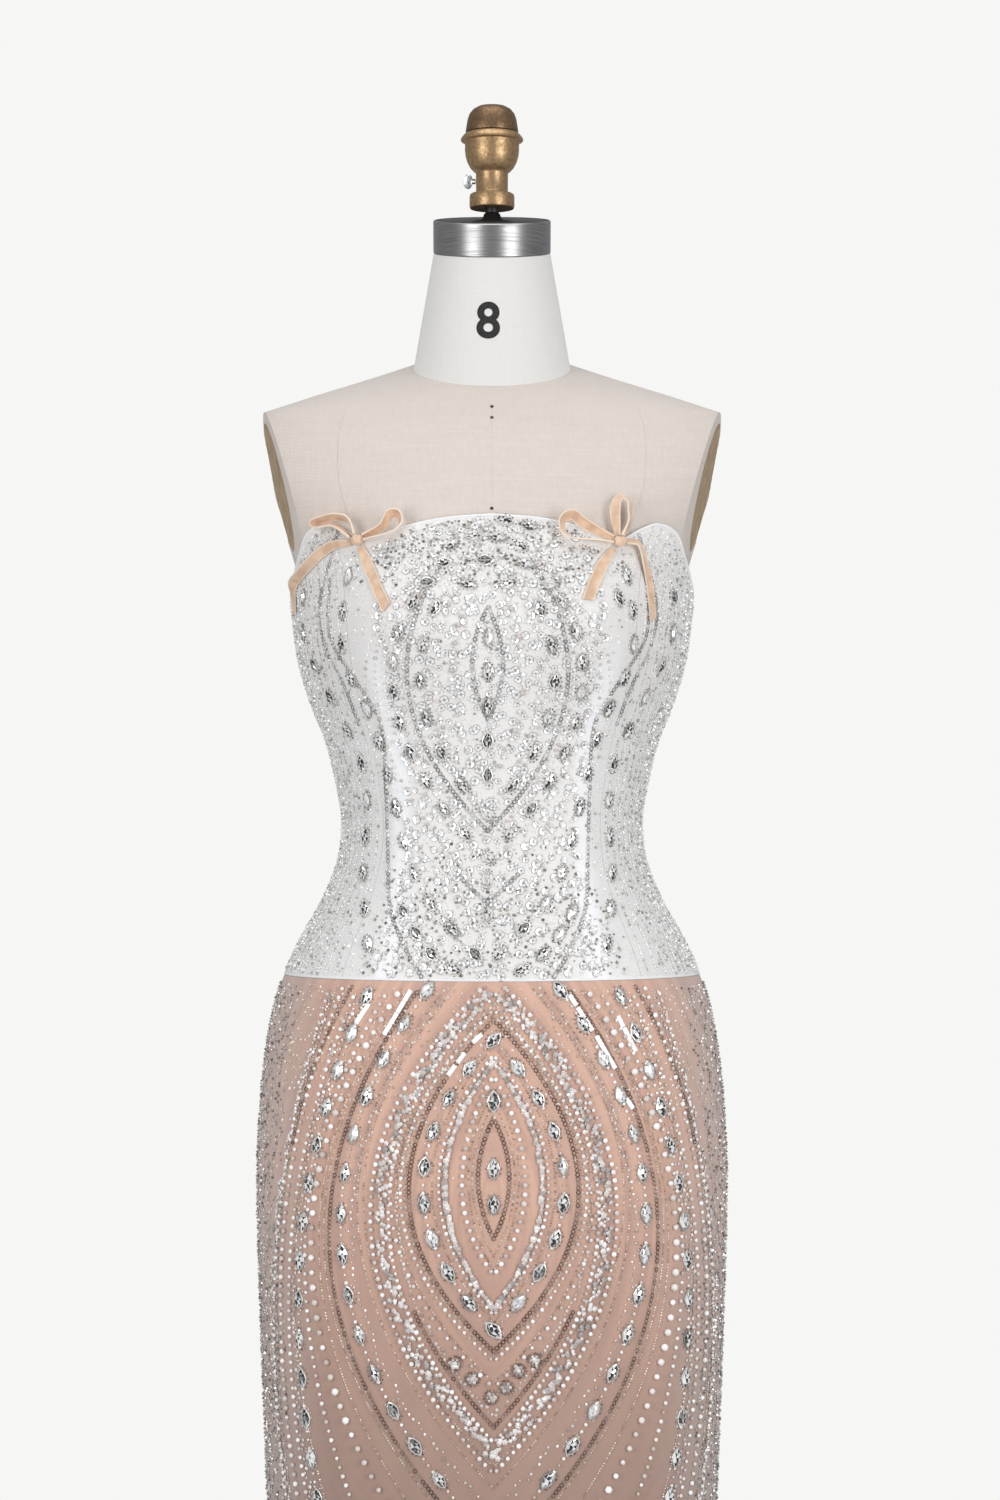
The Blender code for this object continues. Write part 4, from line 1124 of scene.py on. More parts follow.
bow_points = []
for side, strands in BOWS.items():
    points, faces, satin_edge, length, area = [], [], [], 0, 0
    for strand in STRANDS:
        rings, centres, run, flat = ribbon_strand(strands["knot"], strands[strand], strand.endswith("tail"))
        added(points, faces, lofted(rings))
        satin_edge += [share for _ in rings for _, _, share in RIBBON_PROFILE]
        bow_points.append(centres)
        length += run
        area += flat
    ribbon = piece(
        f"bow_{side}_ribbon",
        points,
        faces,
        velvet,
        50,
        replaces=[f"bow_{side}_{strand}" for strand in STRANDS],
        slot="peach_velvet",
    )
    marked(ribbon.data, satin_edge=satin_edge)
    middle, normal = on_bodice(*(np.array([c]) for c in strands["knot"]), KNOT_LIFT)
    stance = Matrix.Translation(middle[0]) @ Vector(normal[0]).to_track_quat("-Y", "Z").to_matrix().to_4x4()
    knot_rings = []
    for lean in np.linspace(-0.49 * math.pi, 0.49 * math.pi, 19):
        ring = []
        for turn in np.arange(32) * math.pi / 16:
            fold = abs(math.sin(2.4 * lean + 0.7 * math.sin(turn) + 0.6))
            pleat = 1 - 0.16 * fold - 0.05 * math.cos(2 * turn)
            girth = pleat * math.cos(lean) ** 0.45
            spot = (math.sin(lean), girth * math.cos(turn), girth * math.sin(turn))
            ring.append(stance @ Vector([share * radius for share, radius in zip(spot, KNOT_RADII)]))
        knot_rings.append(ring)
    stands_for = [f"bow_{side}_knot"]
    piece(f"bow_{side}_wrap", *lofted(knot_rings), velvet, 80, replaces=stands_for, slot="peach_velvet")
bow_points = np.concatenate(bow_points)

# Large stones. Foil-backed glass marquises sit in claw settings ringed with small beads, sewn in
# pointed ovals round the middle of the figure. The back repeats the front, clear of its zip.
STONE_HALF_WIDTH = 0.0037
STONE_HALF_LENGTH = 0.0062
STONE_FLOOR = 0.0008
STONE_GIRDLE = 0.0014
STONE_TABLE = 0.0030
STONE_APART = 0.0125
BODICE_MIDDLE = -0.0032
SKIRT_MIDDLE = 0.0016
ZIP_FOOT = 0.790
ZIP_CLEAR = 0.0075
# Pointed ovals of stones: centre height, reach up, reach down, half width and spacing.
BODICE_STONE_OVALS = (
    (1.212, 0.110, 0.1145, 0.054, 0.0305),
    (1.212, 0.120, 0.149, 0.0755, 0.0275),
)
SKIRT_STONE_OVALS = (
    (0.799, 0.118, 0.113, 0.056, 0.0300),
    (0.767, 0.251, 0.251, 0.122, 0.0335),
    (0.700, 0.420, 0.500, 0.157, 0.0325),
    (0.355, 0.110, 0.115, 0.044, 0.0330),
    (0.060, 0.128, 0.128, 0.062, 0.0330),
)
# Rows of stones that follow no oval: spacing, then millimetres off the middle and height on the way down.
BODICE_STONE_ROWS = (
    (
        0.0285,
        (
            *((109, 1.303), (115, 1.262), (115, 1.225), (91, 1.170), (77, 1.119)),
            *((62, 1.058), (45, 1.025), (19, 0.995), (0, 0.975)),
        ),
    ),
    (
        0.0300,
        (
            *((149, 1.291), (150, 1.246), (122, 1.183), (103, 1.145)),
            *((97, 1.100), (100, 1.055), (98, 1.010), (94, 0.978)),
        ),
    ),
    (0.0240, ((72, 1.027), (57, 1.001), (38, 0.979), (18, 0.969))),
)
BODICE_STONE_ARCS = (
    (0.0222, ((-46, 1.326), (-28, 1.3345), (-2, 1.3365), (18, 1.3335), (44, 1.3265))),
    (0.0180, ((-38, 1.309), (-19, 1.3195), (0, 1.3215), (17, 1.318), (34, 1.308))),
    (0.0330, ((-52, 1.297), (-18, 1.301), (15, 1.301), (47, 1.295))),
    (0.0325, ((-65, 1.280), (-38, 1.284), (0, 1.2807), (32, 1.284), (66, 1.278))),
    (0.0280, ((-104, 1.281), (-89, 1.305))),
    (0.0280, ((109, 1.258), (99, 1.285))),
    (0.0268, ((0, 1.2535), (0, 0.976))),
)
SKIRT_STONE_ARCS = (
    (0.0285, ((0, 0.829), (0, 0.772))),
    (0.0300, ((0, 0.8765), (0, 0.8605))),
)


def skirt_foot(angles):
    """Height down to which the skirt is beaded."""
    return np.full_like(angles, HEM_HEIGHT + 0.006)


# Where each part of the pattern may lie: its middle, and its lower and upper edge.
PATTERNS = {
    "bodice": (
        BODICE_MIDDLE,
        lambda angles: bodice_hem(angles) + 0.003,
        lambda angles: bodice_top(angles) - 0.004,
    ),
    "skirt": (SKIRT_MIDDLE, skirt_foot, lambda angles: bodice_hem(angles) - 0.004),
}


def kept(part, angles, heights, lift):
    """The longest stretch of a line that lies on its part, off the zip, as points and normals."""
    _, low, high = PATTERNS[part]
    points, normals = over(angles, heights, CLOTH_WALL + lift), facing(angles, heights)
    on_zip = (np.cos(angles) < 0) & (heights > ZIP_FOOT) & (np.abs(points[:, 0]) < ZIP_CLEAR)
    inside = (heights > low(angles)) & (heights < high(angles)) & ~on_zip
    ends = np.flatnonzero(np.diff(np.concatenate([[0], inside.astype(int), [0]])))
    runs = [(first, last) for first, last in zip(ends[::2], ends[1::2]) if last - first > 2]
    if not runs:
        return []
    first, last = max(runs, key=lambda run: run[1] - run[0])
    return [(points[first:last], normals[first:last])]


def laid(part, across, heights, lift, back):
    """A line over a part from distances off its middle and heights."""
    middle = PATTERNS[part][0]
    within = np.abs(across + middle) < half_width(heights) * 0.998
    across, heights = across[within], heights[within]
    if len(across) < 3:
        return []
    angles = np.arcsin((across + middle) / half_width(heights))
    return kept(part, math.pi - angles if back else angles, heights, lift)


def oval_lines(part, centre, up, down, half, lift, shares=(-1.0, 1.0)):
    """The sides of a pointed oval, front and back, from a share of its way down to another."""
    share = np.linspace(*shares, 90)
    heights = centre - np.where(share < 0, up, down) * share
    found = []
    for back in (False, True):
        for side in (-1, 1):
            found += laid(part, side * half * (1 - share**2), heights, lift, back)
    return found


def row_lines(part, marks, lift, painted_reflections=True):
    """A smooth line through marks of millimetres off the middle and height, front and back."""
    marks = np.array(marks, float) * (0.001, 1)
    steps = np.hypot(*np.diff(marks, axis=0).T)
    table = np.column_stack([np.concatenate([[0], np.cumsum(steps)]), marks])
    places = np.linspace(0, table[-1, 0], max(8, int(table[-1, 0] / 0.004)))
    found = []
    for back in (False, True):
        for side in (1, -1) if painted_reflections else (1,):
            found += laid(part, side * along(table, places, 1), along(table, places, 2), lift, back)
    return found


def upright_lines(part, turns, low, high, lift):
    """Lines that run straight down the figure at fixed turns, to the left and the right."""
    heights = np.linspace(low, high, 120)
    found = []
    for turn in turns:
        for sign in (-1, 1):
            found += kept(part, np.full_like(heights, math.radians(turn) * sign), heights, lift)
    return found


def places_along(lines, pitch, size=1.0, spread=0.0, seed=0, ends=False):
    """Places at a pitch, strewn sideways by up to a spread: point, outwards, ahead and size."""
    chance = np.random.default_rng(seed)
    found = []
    for line, normals in lines:
        run = np.concatenate([[0], np.cumsum(np.linalg.norm(np.diff(line, axis=0), axis=1))])
        count = max(1, round(run[-1] / pitch))
        at = (np.arange(count + 1) if ends else np.arange(count) + 0.5) * run[-1] / count

        def read(table, where):
            return np.stack([np.interp(where, run, table[:, i]) for i in range(3)], -1)

        out = read(normals, at)
        ahead = read(line, np.minimum(at + 0.002, run[-1])) - read(line, np.maximum(at - 0.002, 0))
        spot = read(line, at)
        if spread:
            across = np.cross(ahead, out)
            across /= np.linalg.norm(across, axis=1, keepdims=True)
            spot = spot + across * chance.uniform(-spread, spread, (len(at), 1))
            ahead = chance.normal(size=(len(at), 3))
        found.append(np.concatenate([spot, out, ahead, np.full((len(at), 1), size)], 1))
    return np.concatenate(found)


def loose_points(places):
    """A working mesh of places that keeps each one's outward and forward direction and its size."""
    mesh = bpy.data.meshes.new("places")
    mesh.from_pydata([tuple(p) for p in places[:, :3]], [], [])
    marked(mesh, out=places[:, 3:6], ahead=places[:, 6:9], size=places[:, 9])
    return linked("places", mesh)


def thread_lines(lines):
    """A working mesh of edges along lines, each point keeping its outward direction."""
    points, edges, outs = [], [], []
    for line, normals in lines:
        edges += [(len(points) + i, len(points) + i + 1) for i in range(len(line) - 1)]
        points += [tuple(p) for p in line]
        outs += list(normals)
    mesh = bpy.data.meshes.new("threads")
    mesh.from_pydata(points, edges, [])
    marked(mesh, out=outs)
    return linked("threads", mesh)


def bead_tree(name, on_lines):
    """Beads set along lines at a pitch, or on loose places, each turned to face outwards."""
    takes = {"Places": "Geometry", "Bead": "Object", "Pitch": "Float", "Size": "Float", "Wobble": "Float"}
    takes |= {"Seed": "Int", "Finish": "Material"}
    group, come = group_of(name, "GeometryNodeTree", takes, {"Beads": "Geometry"})
    group.is_modifier = True

    def kept_as(label, kind):
        read = node(group, "GeometryNodeInputNamedAttribute", {"Name": label}, data_type=kind)
        return read.outputs["Attribute"]

    if on_lines:
        curve = node(group, "GeometryNodeMeshToCurve", {"Mesh": come["Places"]}).outputs["Curve"]
        pitched = {"Curve": curve, "Length": come["Pitch"]}
        places = node(group, "GeometryNodeResampleCurve", pitched, mode="LENGTH").outputs["Curve"]
        ahead = node(group, "GeometryNodeInputTangent").outputs["Tangent"]
        size = come["Size"]
    else:
        places = come["Places"]
        ahead = kept_as("ahead", "FLOAT_VECTOR")
        size = sums(group, "MULTIPLY", kept_as("size", "FLOAT"), come["Size"])
    axes = {"Primary Axis": kept_as("out", "FLOAT_VECTOR"), "Secondary Axis": ahead}
    turn = node(group, "FunctionNodeAxesToRotation", axes, primary_axis="Z", secondary_axis="Y")
    limits = (sums(group, "SUBTRACT", 1.0, come["Wobble"]), sums(group, "ADD", 1.0, come["Wobble"]))
    spread = {2: limits[0], 3: limits[1], "Seed": come["Seed"]}
    wander = node(group, "FunctionNodeRandomValue", spread, data_type="FLOAT").outputs[1]
    set_out = {
        "Points": places,
        "Instance": node(group, "GeometryNodeObjectInfo", {"Object": come["Bead"]}).outputs["Geometry"],
        "Rotation": turn.outputs[0],
        "Scale": sums(group, "MULTIPLY", wander, size),
    }
    beads = node(group, "GeometryNodeInstanceOnPoints", set_out).outputs["Instances"]
    chance = node(group, "FunctionNodeRandomValue", {2: 0.0, 3: 1.0, "Seed": 7}, data_type="FLOAT").outputs[1]
    tint = {"Geometry": beads, "Name": "tint", "Value": chance}
    toned = node(group, "GeometryNodeStoreNamedAttribute", tint, data_type="FLOAT", domain="INSTANCE")
    real = node(group, "GeometryNodeRealizeInstances", {"Geometry": toned.outputs["Geometry"]})
    finished = {"Geometry": real.outputs["Geometry"], "Material": come["Finish"]}
    finished = node(group, "GeometryNodeSetMaterial", finished).outputs["Geometry"]
    node(group, "NodeGroupOutput", {"Beads": finished})
    return group


strung_beads = bead_tree("strung_beads", True)
loose_beads = bead_tree("loose_beads", False)


def sewn(name, carrier, bead, finish, size=1.0, wobble=0.0, pitch=0.01, seed=1):
    """Sew beads on a list of lines or on an array of places, as one plain piece of the object."""
    on_lines = isinstance(carrier, list)
    carrier = thread_lines(carrier) if on_lines else loose_points(carrier)
    modifier = carrier.modifiers.new("beads", "NODES")
    modifier.node_group = strung_beads if on_lines else loose_beads
    values = {"Bead": bead, "Pitch": pitch, "Size": size, "Wobble": wobble, "Seed": seed, "Finish": finish}
    for item in modifier.node_group.interface.items_tree:
        if item.in_out == "INPUT" and item.name in values:
            modifier[item.identifier] = values[item.name]
    settle(made_plain(carrier, name))


def shape_of(name, bm, smooth=False):
    """A small working shape that is repeated over the dress."""
    mesh = bpy.data.meshes.new(name)
    bmesh.ops.recalc_face_normals(bm, faces=bm.faces)
    for face in bm.faces:
        face.smooth = smooth
    bm.to_mesh(mesh)
    bm.free()
    return linked(name, mesh)


# Half the outline of a marquise, as shares of its half length and half width.
MARQUISE = ((-1.0, 0.0), (-0.62, 0.62), (0.0, 1.0), (0.62, 0.62), (1.0, 0.0))
# Painted reflections: each facet of a stone gets a level from dark to white that stands for what the glass
# reflects.
FACET_PAINTED_REFLECTIONS = (0.10, 0.95, 0.35, 0.02, 1.0, 0.55, 0.15, 0.80)
TABLE_PAINTED_REFLECTIONS = (0.05, 0.0, 0.9, 1.0, 0.45, 0.1, 0.95, 0.3)
RING_BEADS = 14
RING_BEAD = 0.00085
CLAWS = ((-0.70, 0.62), (0.70, 0.62), (-0.70, -0.62), (0.70, -0.62))
CLAW_HEIGHT = 0.0018
CLAW_RADIUS = 0.0008


def marquise_ring(bm, scale, height):
    """Points round a stone's pointed outline, at a share of its size."""
    half = [(w * STONE_HALF_WIDTH * scale, s * STONE_HALF_LENGTH * scale, height) for s, w in MARQUISE]
    return [bm.verts.new(p) for p in half + [(-x, y, z) for x, y, z in reversed(half[1:-1])]]


stone_bm = bmesh.new()
levels = ((0.80, STONE_FLOOR), (1.0, STONE_GIRDLE), (0.60, STONE_TABLE))
levels = [marquise_ring(stone_bm, scale, height) for scale, height in levels]
# Each face of the stone keeps its level of painted reflection.
facet_painted_light = stone_bm.faces.layers.float.new("facet")
stone_bm.faces.new(levels[0])
peak = stone_bm.verts.new((0, 0, STONE_TABLE + 0.0003))
for i in range(8):
    stone_bm.faces.new((levels[2][i], levels[2][(i + 1) % 8], peak))[facet_painted_light] = TABLE_PAINTED_REFLECTIONS[i]
for low, high in zip(levels, levels[1:]):
    for i in range(8):
        j = (i + 1) % 8
        for k, corners in enumerate(((low[i], low[j], high[j]), (low[i], high[j], high[i]))):
            stone_bm.faces.new(corners)[facet_painted_light] = FACET_PAINTED_REFLECTIONS[(i * 3 + k * 4) % 8]
stone_shape = shape_of("marquise", stone_bm)

setting_bm = bmesh.new()
rims = [marquise_ring(setting_bm, *rim) for rim in ((1.10, 0), (1.18, 0.0011), (0.98, 0.0013))]
setting_bm.faces.new(rims[0])
setting_bm.faces.new(rims[2])
for low, high in zip(rims, rims[1:]):
    for i in range(8):
        j = (i + 1) % 8
        setting_bm.faces.new((low[i], low[j], high[j], high[i]))
for s, w in CLAWS:
    spot = Matrix.Translation((w * STONE_HALF_WIDTH, s * STONE_HALF_LENGTH, CLAW_HEIGHT))
    bmesh.ops.create_uvsphere(setting_bm, u_segments=4, v_segments=2, radius=CLAW_RADIUS, matrix=spot)
setting_shape = shape_of("claw_setting", setting_bm)
seed_bm = bmesh.new()
bmesh.ops.create_uvsphere(seed_bm, u_segments=4, v_segments=2, radius=1.0)
seed_bead = shape_of("seed_bead", seed_bm)


def tinted(name, stops, roughness, metallic, **sockets):
    """A bead finish whose colour differs from bead to bead, through a few stops."""
    material, shader = finish_of(name, stops[-1][1], roughness, metallic, **sockets)
    tree = material.node_tree
    tree.links.new(ramped(tree, told(tree, "tint"), *stops), shader.inputs["Base Color"])
    return material


glaze = {"Coat_Weight": 0.6, "Coat_Roughness": 0.03}
# The stones' colour is painted reflection: each facet's level, shifted at random from stone to stone, runs
# through a ramp from near black to white.
foiled_glass_painted_reflections, shader = finish_of("foiled_glass_painted_reflections", (0.5, 0.5, 0.5), 0.08, 0.35, **glaze)
tree = foiled_glass_painted_reflections.node_tree
shifted = sums(tree, "MULTIPLY_ADD", told(tree, "tint"), 1.7, told(tree, "facet"))
wrapped = sums(tree, "PINGPONG", shifted, 1.0)
painted_reflections = ramped(tree, wrapped, (0.0, 0.012), (0.30, 0.05), (0.46, 0.42), (0.62, 0.92), (1.0, 1.0))
tree.links.new(painted_reflections, shader.inputs["Base Color"])
claw_tones = ((0, (0.34, 0.33, 0.31)), (0.5, (0.60, 0.585, 0.56)), (1, (0.9, 0.89, 0.87)))
claw_silver = tinted("claw_silver", claw_tones, 0.25, 0.4)
ring_tones = ((0, (0.12, 0.115, 0.105)), (0.45, (0.50, 0.48, 0.455)), (1, (1.0, 0.99, 0.97)))
ring_silver = tinted("ring_silver", ring_tones, 0.22, 0.3)


def ringed(places, size):
    """Places for the small beads in a ring round each stone."""
    turn = (np.arange(RING_BEADS) + 0.5) * 2 * math.pi / RING_BEADS
    out, ahead = places[:, 3:6], places[:, 6:9]
    ahead = ahead - out * (ahead * out).sum(1, keepdims=True)
    ahead /= np.linalg.norm(ahead, axis=1, keepdims=True)
    aside = np.cross(ahead, out)
    spots = places[:, None, :3] + out[:, None] * RING_BEAD * 0.7
    spots = spots + aside[:, None] * (STONE_HALF_WIDTH * size * 1.40 * np.sin(turn))[None, :, None]
    spots = spots + ahead[:, None] * (STONE_HALF_LENGTH * size * 1.24 * np.cos(turn))[None, :, None]
    outs = np.repeat(out, RING_BEADS, axis=0)
    spins = np.random.default_rng(41).normal(size=outs.shape)
    return np.concatenate([spots.reshape(-1, 3), outs, spins, np.full((len(outs), 1), RING_BEAD)], 1)


def off_bows(places, clear):
    """Leave out the places under the ribbons."""
    near = np.linalg.norm(places[:, None, :3] - bow_points[None], axis=-1).min(1)
    return places[near > clear]


stone_rows = {"bodice": [], "skirt": []}
for centre, up, down, half, pitch in BODICE_STONE_OVALS:
    stone_rows["bodice"].append((pitch, oval_lines("bodice", centre, up, down, half, 0, (-0.46, 1.0)), True))
for pitch, marks in BODICE_STONE_ROWS:
    stone_rows["bodice"].append((pitch, row_lines("bodice", marks, 0), False))
for pitch, marks in BODICE_STONE_ARCS:
    stone_rows["bodice"].append((pitch, row_lines("bodice", marks, 0, painted_reflections=False), False))
for centre, up, down, half, pitch in SKIRT_STONE_OVALS:
    stone_rows["skirt"].append((pitch, oval_lines("skirt", centre, up, down, half, 0), True))
for pitch, marks in SKIRT_STONE_ARCS:
    stone_rows["skirt"].append((pitch, row_lines("skirt", marks, 0, painted_reflections=False), False))
around = np.linspace(-math.pi, math.pi, 361)
stone_rows["skirt"].append((0.052, kept("skirt", around, np.full_like(around, 0.042), 0), False))
stone_spots = []
for part, size in (("bodice", 1.04), ("skirt", 1.18)):
    spots = []
    for pitch, lines, ends in stone_rows[part]:
        for spot in off_bows(places_along(lines, pitch, ends=ends), 0.0105):
            by_zip = spot[1] > 0 and abs(spot[0]) < 0.0125 and spot[2] > ZIP_FOOT - 0.008
            if not by_zip and all(np.linalg.norm(spot[:3] - other[:3]) > STONE_APART for other in spots):
                spots.append(spot)
    stone_spots += spots
    spots = np.array(spots)
    sewn(f"{part}_stones", spots, stone_shape, foiled_glass_painted_reflections, size, 0.08)
    sewn(f"{part}_settings", spots, setting_shape, claw_silver, size, 0.08)
    sewn(f"{part}_stone_rings", ringed(spots, size), seed_bead, ring_silver, 1, 0.2, seed=4)
stone_spots = np.array(stone_spots)


def off_stones(places, clear=0.0068):
    """Leave out the places that a stone or a ribbon already covers."""
    near = np.linalg.norm(places[:, None, :3] - stone_spots[None, :, :3], axis=-1).min(1)
    return off_bows(places[near > clear], clear)


# Sequin chains. Round rings of metal foil lap like scales along the pattern's ovals, silver on the
# bodice and taupe on the skirt, each one stitched down through its hole.
CHAIN_PITCH = 0.0035
CHAIN_RING = 0.0020
CHAIN_LIFT = 0.0005
# Chains: centre height, reach up, reach down, half width, and the shares of the way down they cover.
BODICE_CHAINS = ((1.2199, 0.044, 0.045, 0.0128, -1, 1), (1.2135, 0.129, 0.129, 0.0644, -0.63, 1))
SKIRT_CHAINS = (
    (0.807, 0.048, 0.048, 0.0124, -1, 1),
    (0.795, 0.138, 0.126, 0.0675, -1, 1),
    (0.790, 0.160, 0.182, 0.0840, 0.50, 1),
    (0.757, 0.270, 0.256, 0.1320, -1, 1),
    (0.770, 0.330, 0.330, 0.1680, -1, -0.18),
    (0.355, 0.046, 0.046, 0.0115, -1, 1),
    (0.355, 0.124, 0.130, 0.0530, -1, 1),
    (0.060, 0.142, 0.142, 0.0720, -1, 1),
    (0.060, 0.075, 0.075, 0.0260, -1, 1),
)
BODICE_CHAIN_ROWS = (
    (
        *((127, 1.288), (127, 1.243), (104, 1.204), (86, 1.172), (82, 1.120)),
        *((80, 1.060), (78, 1.020), (64, 0.985), (53, 0.967)),
    ),
    ((121, 1.328), (126, 1.3065), (134, 1.279), (136, 1.2575), (129, 1.2295), (117, 1.206), (104, 1.172)),
    ((24, 1.049), (12, 1.037), (0, 1.0255)),
)


bead_bm = bmesh.new()
bmesh.ops.create_icosphere(bead_bm, subdivisions=1, radius=1.0)
round_bead = shape_of("round_bead", bead_bm, True)
ring_bm = bmesh.new()
loops = []
for k in range(7):
    turn = 2 * math.pi * k / 7
    profile = ((1.0, 0.0), (0.80, 0.24), (0.56, 0.0))
    tilted = [(r * math.cos(turn), r * math.sin(turn), up + 0.22 * r * math.sin(turn)) for r, up in profile]
    loops.append([ring_bm.verts.new(corner) for corner in tilted])
for near, far in zip(loops, loops[1:] + loops[:1]):
    for i in range(3):
        ring_bm.faces.new((near[i], near[(i + 1) % 3], far[(i + 1) % 3], far[i]))
ring_sequin = shape_of("ring_sequin", ring_bm)
taupe_tones = ((0, (0.14, 0.095, 0.08)), (0.5, (0.27, 0.19, 0.16)), (1, (0.52, 0.41, 0.36)))
taupe = tinted("taupe_chain", taupe_tones, 0.25, 0.3)
silver_tones = ((0, (0.22, 0.22, 0.22)), (0.5, (0.42, 0.42, 0.42)), (1, (0.80, 0.80, 0.80)))
silver = tinted("silver_chain", silver_tones, 0.22, 0.3)
chains = {"bodice": [], "skirt": []}
for part, ovals in (("bodice", BODICE_CHAINS), ("skirt", SKIRT_CHAINS)):
    for centre, up, down, half, first, last in ovals:
        chains[part] += oval_lines(part, centre, up, down, half, CHAIN_LIFT, (first, last))
for marks in BODICE_CHAIN_ROWS:
    chains["bodice"] += row_lines("bodice", marks, CHAIN_LIFT)
for part, finish in (("bodice", silver), ("skirt", taupe)):
    sewn(f"{part}_chains", chains[part], ring_sequin, finish, CHAIN_RING, 0.05, CHAIN_PITCH, 11)

# White beads and cut crystals. Spaced pearls, close rows and a loose band of clustered crystals run
# between the chains, with white satin-glass bars high on the skirt and small flowers below.
# Rows: the oval, then pitch and bead radius.
PEARL_OVALS = (
    (0.801, 0.088, 0.071, 0.0250, 0.0075, 0.0022),
    (0.801, 0.104, 0.103, 0.0435, 0.0056, 0.0018),
    (0.799, 0.118, 0.113, 0.0560, 0.0064, 0.0014),
    (0.795, 0.146, 0.134, 0.0740, 0.0059, 0.0017),
    (0.793, 0.158, 0.153, 0.0820, 0.0097, 0.0019),
    (0.777, 0.178, 0.181, 0.0835, 0.0055, 0.0020),
    (0.777, 0.190, 0.206, 0.0980, 0.0066, 0.0021),
    (0.767, 0.251, 0.251, 0.1220, 0.0064, 0.0015),
    (0.745, 0.300, 0.310, 0.1460, 0.0121, 0.0029),
    (0.735, 0.330, 0.380, 0.1515, 0.0075, 0.0019),
    (0.700, 0.420, 0.500, 0.1570, 0.0068, 0.0014),
    (0.700, 0.440, 0.530, 0.1650, 0.0070, 0.0019),
    (0.700, 0.470, 0.560, 0.1720, 0.0077, 0.0021),
    (0.680, 0.540, 0.600, 0.1780, 0.0059, 0.0017),
    (0.355, 0.078, 0.080, 0.0230, 0.0075, 0.0022),
    (0.355, 0.133, 0.140, 0.0590, 0.0062, 0.0017),
    (0.060, 0.152, 0.152, 0.0800, 0.0062, 0.0017),
    (0.060, 0.105, 0.105, 0.0440, 0.0075, 0.0022),
)
# Strewn rows of cut crystals: the oval, then pitch, bead radius and how far they stray to the side.
CRYSTAL_OVALS = (
    (0.801, 0.099, 0.098, 0.0385, 0.0030, 0.0024, 0.0009),
    (0.777, 0.184, 0.192, 0.0900, 0.0017, 0.0022, 0.0048),
    (0.777, 0.170, 0.160, 0.0770, 0.0036, 0.0013, 0.0018),
    (0.760, 0.235, 0.220, 0.1140, 0.0050, 0.0012, 0.0030),
    (0.700, 0.440, 0.530, 0.1610, 0.0038, 0.0014, 0.0030),
    (0.690, 0.500, 0.580, 0.1800, 0.0026, 0.0014, 0.0034),
    (0.355, 0.090, 0.094, 0.0345, 0.0028, 0.0016, 0.0013),
    (0.355, 0.160, 0.170, 0.0700, 0.0017, 0.0019, 0.0045),
    (0.060, 0.172, 0.172, 0.0930, 0.0020, 0.0019, 0.0045),
)
HEM_PEARL_ROWS = ((0.026, 0.0088, 0.0019), (0.058, 0.0088, 0.0019))
FLOWERS = ((-30.6, 0.659), (-17, 0.6465), (-2, 0.632), (10, 0.640), (20, 0.653), (32.5, 0.6615))
BARS = (
    ((-66, 0.956), (-87.5, 0.920)),
    ((-100, 0.944), (-110, 0.929)),
    ((60, 0.953), (79, 0.923)),
    ((82, 0.919), (97, 0.893)),
    ((104, 0.871), (113, 0.858)),
    ((99, 0.935), (114, 0.9055)),
    ((-8, 0.923), (-18, 0.914)),
    ((-22, 0.908), (-37, 0.888)),
)
BAR_LENGTH = 0.0112
crystal_bm = bmesh.new()
bmesh.ops.create_uvsphere(crystal_bm, u_segments=5, v_segments=2, radius=1.0)
cut_crystal = shape_of("cut_crystal", crystal_bm)
pearl_tones = ((0, (0.52, 0.45, 0.41)), (0.45, (0.86, 0.82, 0.80)), (1, (1.0, 1.0, 1.0)))
pearl_white = tinted("pearl_white", pearl_tones, 0.16, 0.0, Coat_Weight=0.7)
crystal_tones = ((0, (0.36, 0.33, 0.32)), (0.35, (0.72, 0.67, 0.65)), (1, (1.0, 0.99, 0.98)))
crystal = tinted("cut_crystal", crystal_tones, 0.07, 0.2, Coat_Weight=1.0)


def oval_beads(part, ovals, lift, shares=(-1.0, 1.0)):
    """Bead places along ovals. The lift is a share of each row's bead radius."""
    found = []
    for centre, up, down, half, pitch, radius, *stray in ovals:
        lines = oval_lines(part, centre, up, down, half, radius * lift, shares)
        found.append(places_along(lines, pitch, radius, *stray, seed=17))
    return found


pearls = oval_beads("skirt", PEARL_OVALS, 0.75)
for height, pitch, radius in HEM_PEARL_ROWS:
    level = np.full_like(around, height)
    pearls.append(places_along(kept("skirt", around, level, radius * 0.75), pitch, radius))
sewn("skirt_pearls", off_stones(np.concatenate(pearls)), round_bead, pearl_white, 1, 0.2, seed=5)
crystals = oval_beads("skirt", CRYSTAL_OVALS, 0.7)
flower_seeds = []
# A flower's rings: how far out, how many beads, their radius and the piece they go to.
flower_rings = ((0.0, 1, 0.0019, crystals), (0.0031, 6, 0.0016, crystals), (0.0056, 13, 0.0011, flower_seeds))
for back in (False, True):
    for across, height in FLOWERS:
        for ring, count, radius, kept_in in flower_rings:
            turn = np.arange(count) * 2 * math.pi / count
            x = across / 1000 + ring * np.cos(turn)
            z = height + ring * np.sin(turn)
            angles = np.arcsin((x + SKIRT_MIDDLE) / half_width(z))
            angles = math.pi - angles if back else angles
            spot = over(angles, z, CLOTH_WALL + radius * 0.7)
            ahead = np.tile((0.0, 0.0, 1.0), (count, 1))
            kept_in.append(np.concatenate([spot, facing(angles, z), ahead, np.full((count, 1), radius)], 1))
sewn("skirt_crystals", off_stones(np.concatenate(crystals)), cut_crystal, crystal, 1, 0.35, seed=6)
sewn("flower_rims", np.concatenate(flower_seeds), round_bead, taupe, 1, 0.1)

